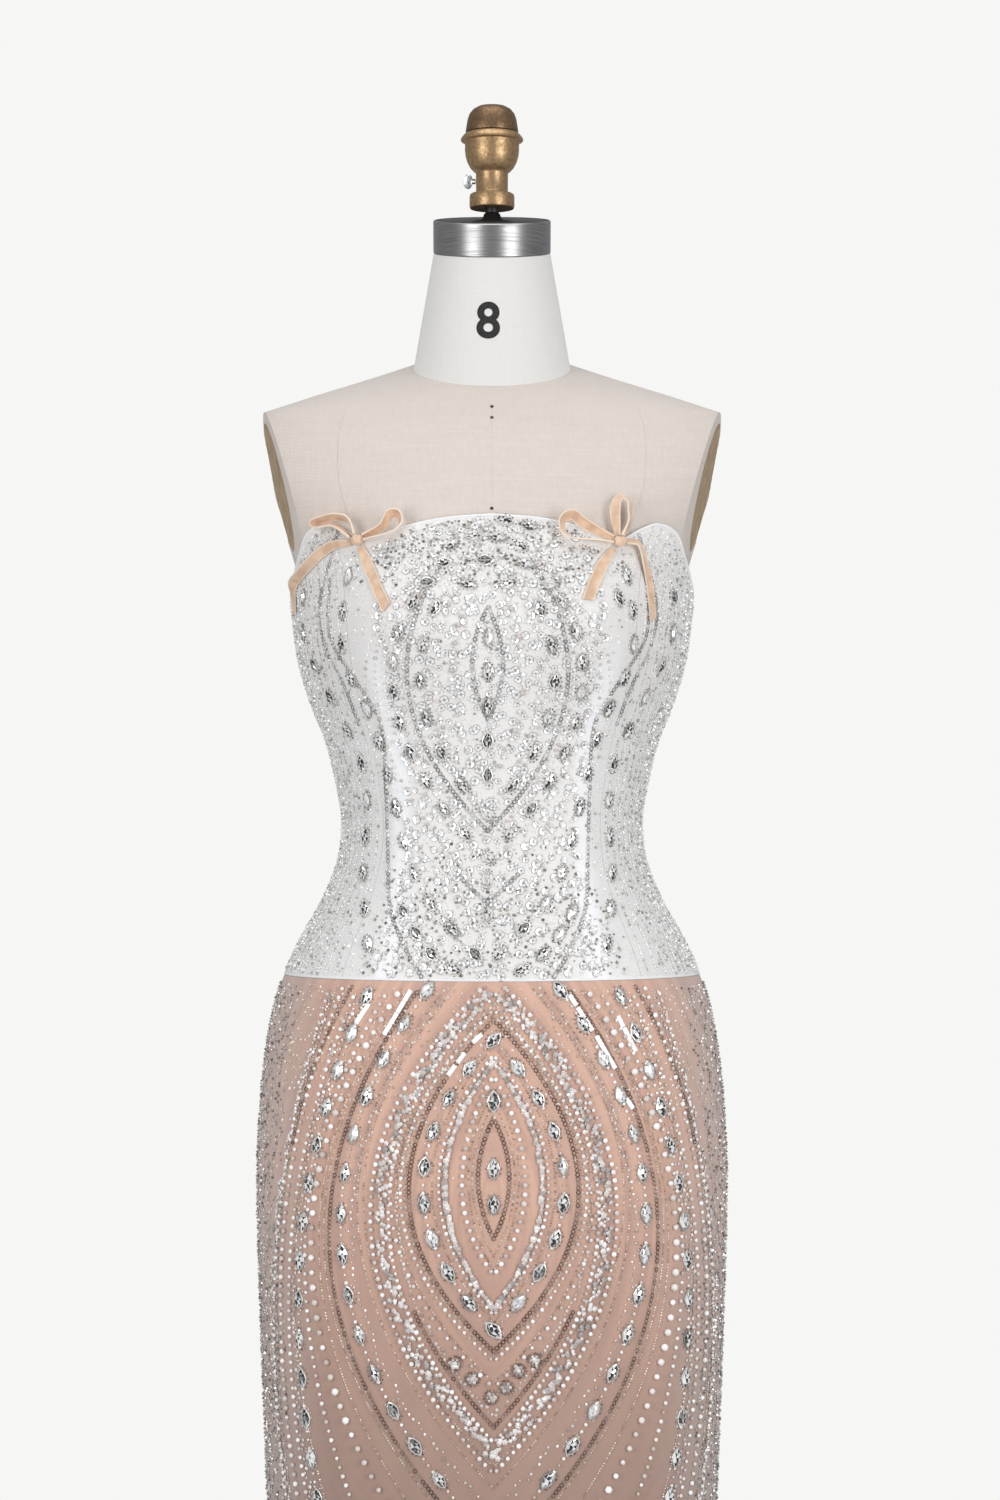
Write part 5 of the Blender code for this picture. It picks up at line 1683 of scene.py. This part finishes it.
bar_bm = bmesh.new()
bmesh.ops.create_cube(bar_bm, size=1, matrix=Matrix.Diagonal((0.0040, BAR_LENGTH * 0.95, 0.0016, 1)))
bmesh.ops.bevel(bar_bm, geom=bar_bm.edges[:], offset=0.0005, segments=1, affect="EDGES")
bar_shape = shape_of("glass_bar", bar_bm)
bar_white = tinted("bar_white", ((0, (0.93, 0.93, 0.93)), (1, (1.0, 1.0, 1.0))), 0.12, 0.0, Coat_Weight=1.0)
bars = [places_along(row_lines("skirt", marks, 0.0006, painted_reflections=False), BAR_LENGTH) for marks in BARS]
sewn("glass_bars", np.concatenate(bars), bar_shape, bar_white, 1, 0.04)

# Fine seed beads. Threads of tiny beads fill between the rows of the skirt, pale ones are strewn like
# dust under the waist, and the sides glitter with a dense strew of silver ones down to the hem.
SEED_OVALS = (
    (0.807, 0.060, 0.062, 0.0170),
    (0.807, 0.070, 0.074, 0.0200),
    (0.800, 0.112, 0.108, 0.0490),
    (0.795, 0.142, 0.130, 0.0705),
    (0.790, 0.152, 0.146, 0.0780),
    (0.790, 0.200, 0.214, 0.1040),
    (0.785, 0.214, 0.226, 0.1090),
    (0.757, 0.278, 0.262, 0.1365),
    (0.750, 0.290, 0.285, 0.1405),
    (0.720, 0.380, 0.440, 0.1620),
    (0.690, 0.500, 0.580, 0.1765),
    (0.355, 0.058, 0.060, 0.0160),
    (0.355, 0.112, 0.118, 0.0480),
)
SEED_PITCH = 0.0023
SEED_RADIUS = 0.0009
SEED_TURNS = range(64, 117, 4)
SIDE_PITCH = 0.0026
DUST_SPAN = (0.80, 0.958)


def strewn(part, turns, span, pitch, size, lift, seed, share=None):
    """Places strewn evenly over a part between two turns and heights, thinned by a share rule."""
    chance = np.random.default_rng(seed)
    _, low, high = PATTERNS[part]
    sweep = math.radians(turns[1] - turns[0])
    found = []
    for sign in (-1, 1):
        for height in np.arange(*span, pitch):
            count = max(1, int(sweep * half_width(height) / pitch))
            steps = np.arange(count) + chance.uniform(0, 1, count)
            angles = math.radians(turns[0]) + steps * (sweep / count)
            heights = height + chance.uniform(-0.5, 0.5, count) * pitch
            keep = (heights > low(angles)) & (heights < high(angles))
            if share:
                keep &= chance.uniform(0, 1, count) < share(np.degrees(angles), heights)
            angles, heights = angles[keep] * sign, heights[keep]
            spot = over(angles, heights, CLOTH_WALL + lift)
            ahead = chance.normal(size=spot.shape)
            off_zip = (np.abs(spot[:, 0]) > ZIP_CLEAR) | (spot[:, 1] < 0)
            rows = np.concatenate([spot, facing(angles, heights), ahead, np.full((len(spot), 1), size)], 1)
            found.append(rows[off_zip])
    return np.concatenate(found)


def dust_share(turns, heights):
    """Pale dust thins out down from the waist."""
    return smoothstep(0.80, 0.93, heights) * 0.55


gold_tones = ((0, (0.35, 0.25, 0.19)), (0.5, (0.66, 0.55, 0.46)), (1, (1.0, 0.95, 0.88)))
seed_gold = tinted("seed_gold", gold_tones, 0.2, 0.3)
pale_tones = ((0, (0.55, 0.43, 0.36)), (0.4, (0.86, 0.76, 0.68)), (1, (1.0, 0.99, 0.96)))
seed_pale = tinted("seed_pale", pale_tones, 0.2, 0.15)
grey_tones = ((0, (0.16, 0.155, 0.15)), (0.5, (0.50, 0.49, 0.475)), (1, (1.0, 0.99, 0.97)))
seed_silver = tinted("seed_silver", grey_tones, 0.2, 0.4)
ice_tones = ((0, (0.34, 0.33, 0.31)), (0.3, (0.78, 0.77, 0.75)), (1, (1.0, 1.0, 1.0)))
seed_ice = tinted("seed_ice", ice_tones, 0.2, 0.15)
seed_lines = []
for centre, up, down, half in SEED_OVALS:
    seed_lines += oval_lines("skirt", centre, up, down, half, 0.0005)
sewn("skirt_seeds", seed_lines, seed_bead, seed_gold, SEED_RADIUS, 0.25, SEED_PITCH, 13)
dusted = ((0, 62), (118, 180))
dust = [strewn("skirt", turns, DUST_SPAN, 0.0050, 0.0011, 0.0005, 51, dust_share) for turns in dusted]
sewn("skirt_dust", off_stones(np.concatenate(dust)), seed_bead, seed_pale, 1, 0.35, seed=12)
sides = upright_lines("skirt", SEED_TURNS, HEM_HEIGHT, 0.98, 0.0006)
sides = places_along(sides, SIDE_PITCH, 0.00115, 0.0068, 21)
sewn("skirt_sides", sides, seed_bead, seed_silver, 1, 0.4, seed=8)

# Bodice beading. Round clear sequins and seed beads crowd the middle and the top edge, darker seeds
# shade its top and its waist, and lines of silver seeds run down the sides between the bones.
BODICE_PEARL_OVALS = (
    (1.2120, 0.090, 0.092, 0.0290, 0.0076, 0.0021),
    (1.2120, 0.108, 0.112, 0.0420, 0.0074, 0.0018),
    (1.2130, 0.122, 0.121, 0.0480, 0.0052, 0.0014),
    (1.2130, 0.136, 0.137, 0.0690, 0.0050, 0.0014),
    (1.2120, 0.128, 0.156, 0.0820, 0.0062, 0.0015),
    (1.2100, 0.128, 0.176, 0.0900, 0.0060, 0.0014),
    (1.2050, 0.128, 0.200, 0.0980, 0.0064, 0.0014),
)
BODICE_SEED_TURNS = (*range(48, 121, 4), 126, 132)
SEQUIN_SPAN = (0.965, 1.335)
DARK_SPAN = (0.965, 1.336)
sequin_bm = bmesh.new()
rings = []
for radius, height in ((1.0, 0.0), (0.86, 0.16), (0.34, 0.06)):
    turns = [2 * math.pi * k / 8 for k in range(8)]
    rings.append([sequin_bm.verts.new((radius * math.cos(a), radius * math.sin(a), height)) for a in turns])
# Painted light on the sequin's facets: the rim and the hole are painted shade, and alternate top facets are
# painted glints.
facet_painted_light = sequin_bm.faces.layers.float.new("facet")
sequin_bm.faces.new(rings[0])
sequin_bm.faces.new(rings[2])[facet_painted_light] = 0.2
for level, (low, high) in enumerate(zip(rings, rings[1:])):
    for i in range(8):
        j = (i + 1) % 8
        facet = sequin_bm.faces.new((low[i], low[j], high[j], high[i]))
        facet[facet_painted_light] = 0.25 if level == 0 else 0.6 + 0.4 * (i % 2)
sequin_shape = shape_of("round_sequin", sequin_bm)
glaze = {"Coat_Weight": 1.0, "Coat_Roughness": 0.05}
sequin_painted_light, shader = finish_of("clear_sequin_painted_light", (0.8, 0.8, 0.8), 0.14, 0.15, **glaze)
tree = sequin_painted_light.node_tree
# The clear sequin's colour is its facets' painted shade and painted glints.
sequin_glints_and_rim_shade = ramped(tree, told(tree, "facet"), (0.0, 0.25), (0.5, 0.62), (1.0, 0.97))
tree.links.new(sequin_glints_and_rim_shade, shader.inputs["Base Color"])


def seed_share(turns, heights):
    """Seeds crowd the top edge, the middle and the sides, and thin out on the satin strips."""
    front = np.where(turns > 90, 180 - turns, turns)
    top = smoothstep(1.270, 1.300, heights)
    middle = smoothstep(34, 20, front) * 0.40
    side = smoothstep(46, 58, front) * 0.9
    return np.maximum(np.maximum(top * 0.95, middle), np.maximum(side, 0.22))


def dark_share(turns, heights):
    """Darker seeds thicken towards the top edge, and a little towards the waist."""
    return np.maximum(smoothstep(1.268, 1.320, heights) * 0.9, smoothstep(1.10, 0.99, heights) * 0.42)


bodice_pearls = oval_beads("bodice", BODICE_PEARL_OVALS, 0.7, (-0.75, 1))
sewn("bodice_pearls", off_stones(np.concatenate(bodice_pearls)), round_bead, pearl_white, 1, 0.2, seed=5)
crowded = (((0, 34), 31), ((146, 180), 32))
sequins = [strewn("bodice", turns, SEQUIN_SPAN, 0.0086, 0.0033, 0.0002, seed) for turns, seed in crowded]
sewn("bodice_sequins", off_stones(np.concatenate(sequins)), sequin_shape, sequin_painted_light, 1, 0.25)
seeds = strewn("bodice", (0, 180), SEQUIN_SPAN, 0.0042, 0.0012, 0.0005, 33, seed_share)
sewn("bodice_seeds", off_stones(seeds), seed_bead, seed_ice, 1, 0.4, seed=9)
shaded = ((0, 40), (140, 180))
dark_seeds = [strewn("bodice", turns, DARK_SPAN, 0.0034, 0.00125, 0.0006, 35, dark_share) for turns in shaded]
dark_seeds = off_stones(np.concatenate(dark_seeds), 0.0080)
sewn("bodice_dark_seeds", dark_seeds, seed_bead, ring_silver, 1, 0.35, seed=10)
lines = upright_lines("bodice", BODICE_SEED_TURNS, 0.965, 1.33, 0.0006)
sewn("bodice_side_seeds", lines, seed_bead, seed_ice, 0.0010, 0.25, SIDE_PITCH, 14)
stone_shapes = (stone_shape, setting_shape, cut_crystal, bar_shape)
for shape in (*stone_shapes, round_bead, seed_bead, ring_sequin, sequin_shape):
    bpy.data.objects.remove(shape)

# Zip. A fine nickel zip closes the centre back from the hips to the top edge, its teeth on two narrow
# tapes. Its slider and its pull hang at the top.
ZIP_TOP = 1.2490
TAPE_OUT = 0.0023
TOOTH_PITCH = 0.0015
nickel = streaked("zip_nickel", (0.42, 0.41, 0.39), (0.68, 0.67, 0.64), 0.3, 1.0, (1, 1, 1), 900, 0.15)
refinished(nickel, "zip_slider", "zip_pull")
heights = np.linspace(0.803, ZIP_TOP, 110)
tapes = []
for sign in (-1, 1):
    angles = math.pi + sign * TAPE_OUT / 0.115 + np.zeros_like(heights)
    tapes.append((over(angles, heights, CLOTH_WALL + 0.0001), facing(angles, heights)))
tape_cloth, *_ = woven("zip_tape", (0.54, 0.49, 0.45), (0.68, 0.62, 0.58), 600, 0.5, 0.75, 0.3)
swept(tapes, 0.0036, 0.0004, tape_cloth, "zip_tapes")
tooth_bm = bmesh.new()
bmesh.ops.create_cube(tooth_bm, size=1, matrix=Matrix.Diagonal((0.0020, 0.0008, 0.0009, 1)))
tooth_shape = shape_of("zip_tooth", tooth_bm)
angles = np.full_like(heights, math.pi)
zip_line = (over(angles, heights, CLOTH_WALL), facing(angles, heights))
sewn("zip_teeth", [zip_line], tooth_shape, nickel, 1, 0.0, TOOTH_PITCH)
bpy.data.objects.remove(tooth_shape)
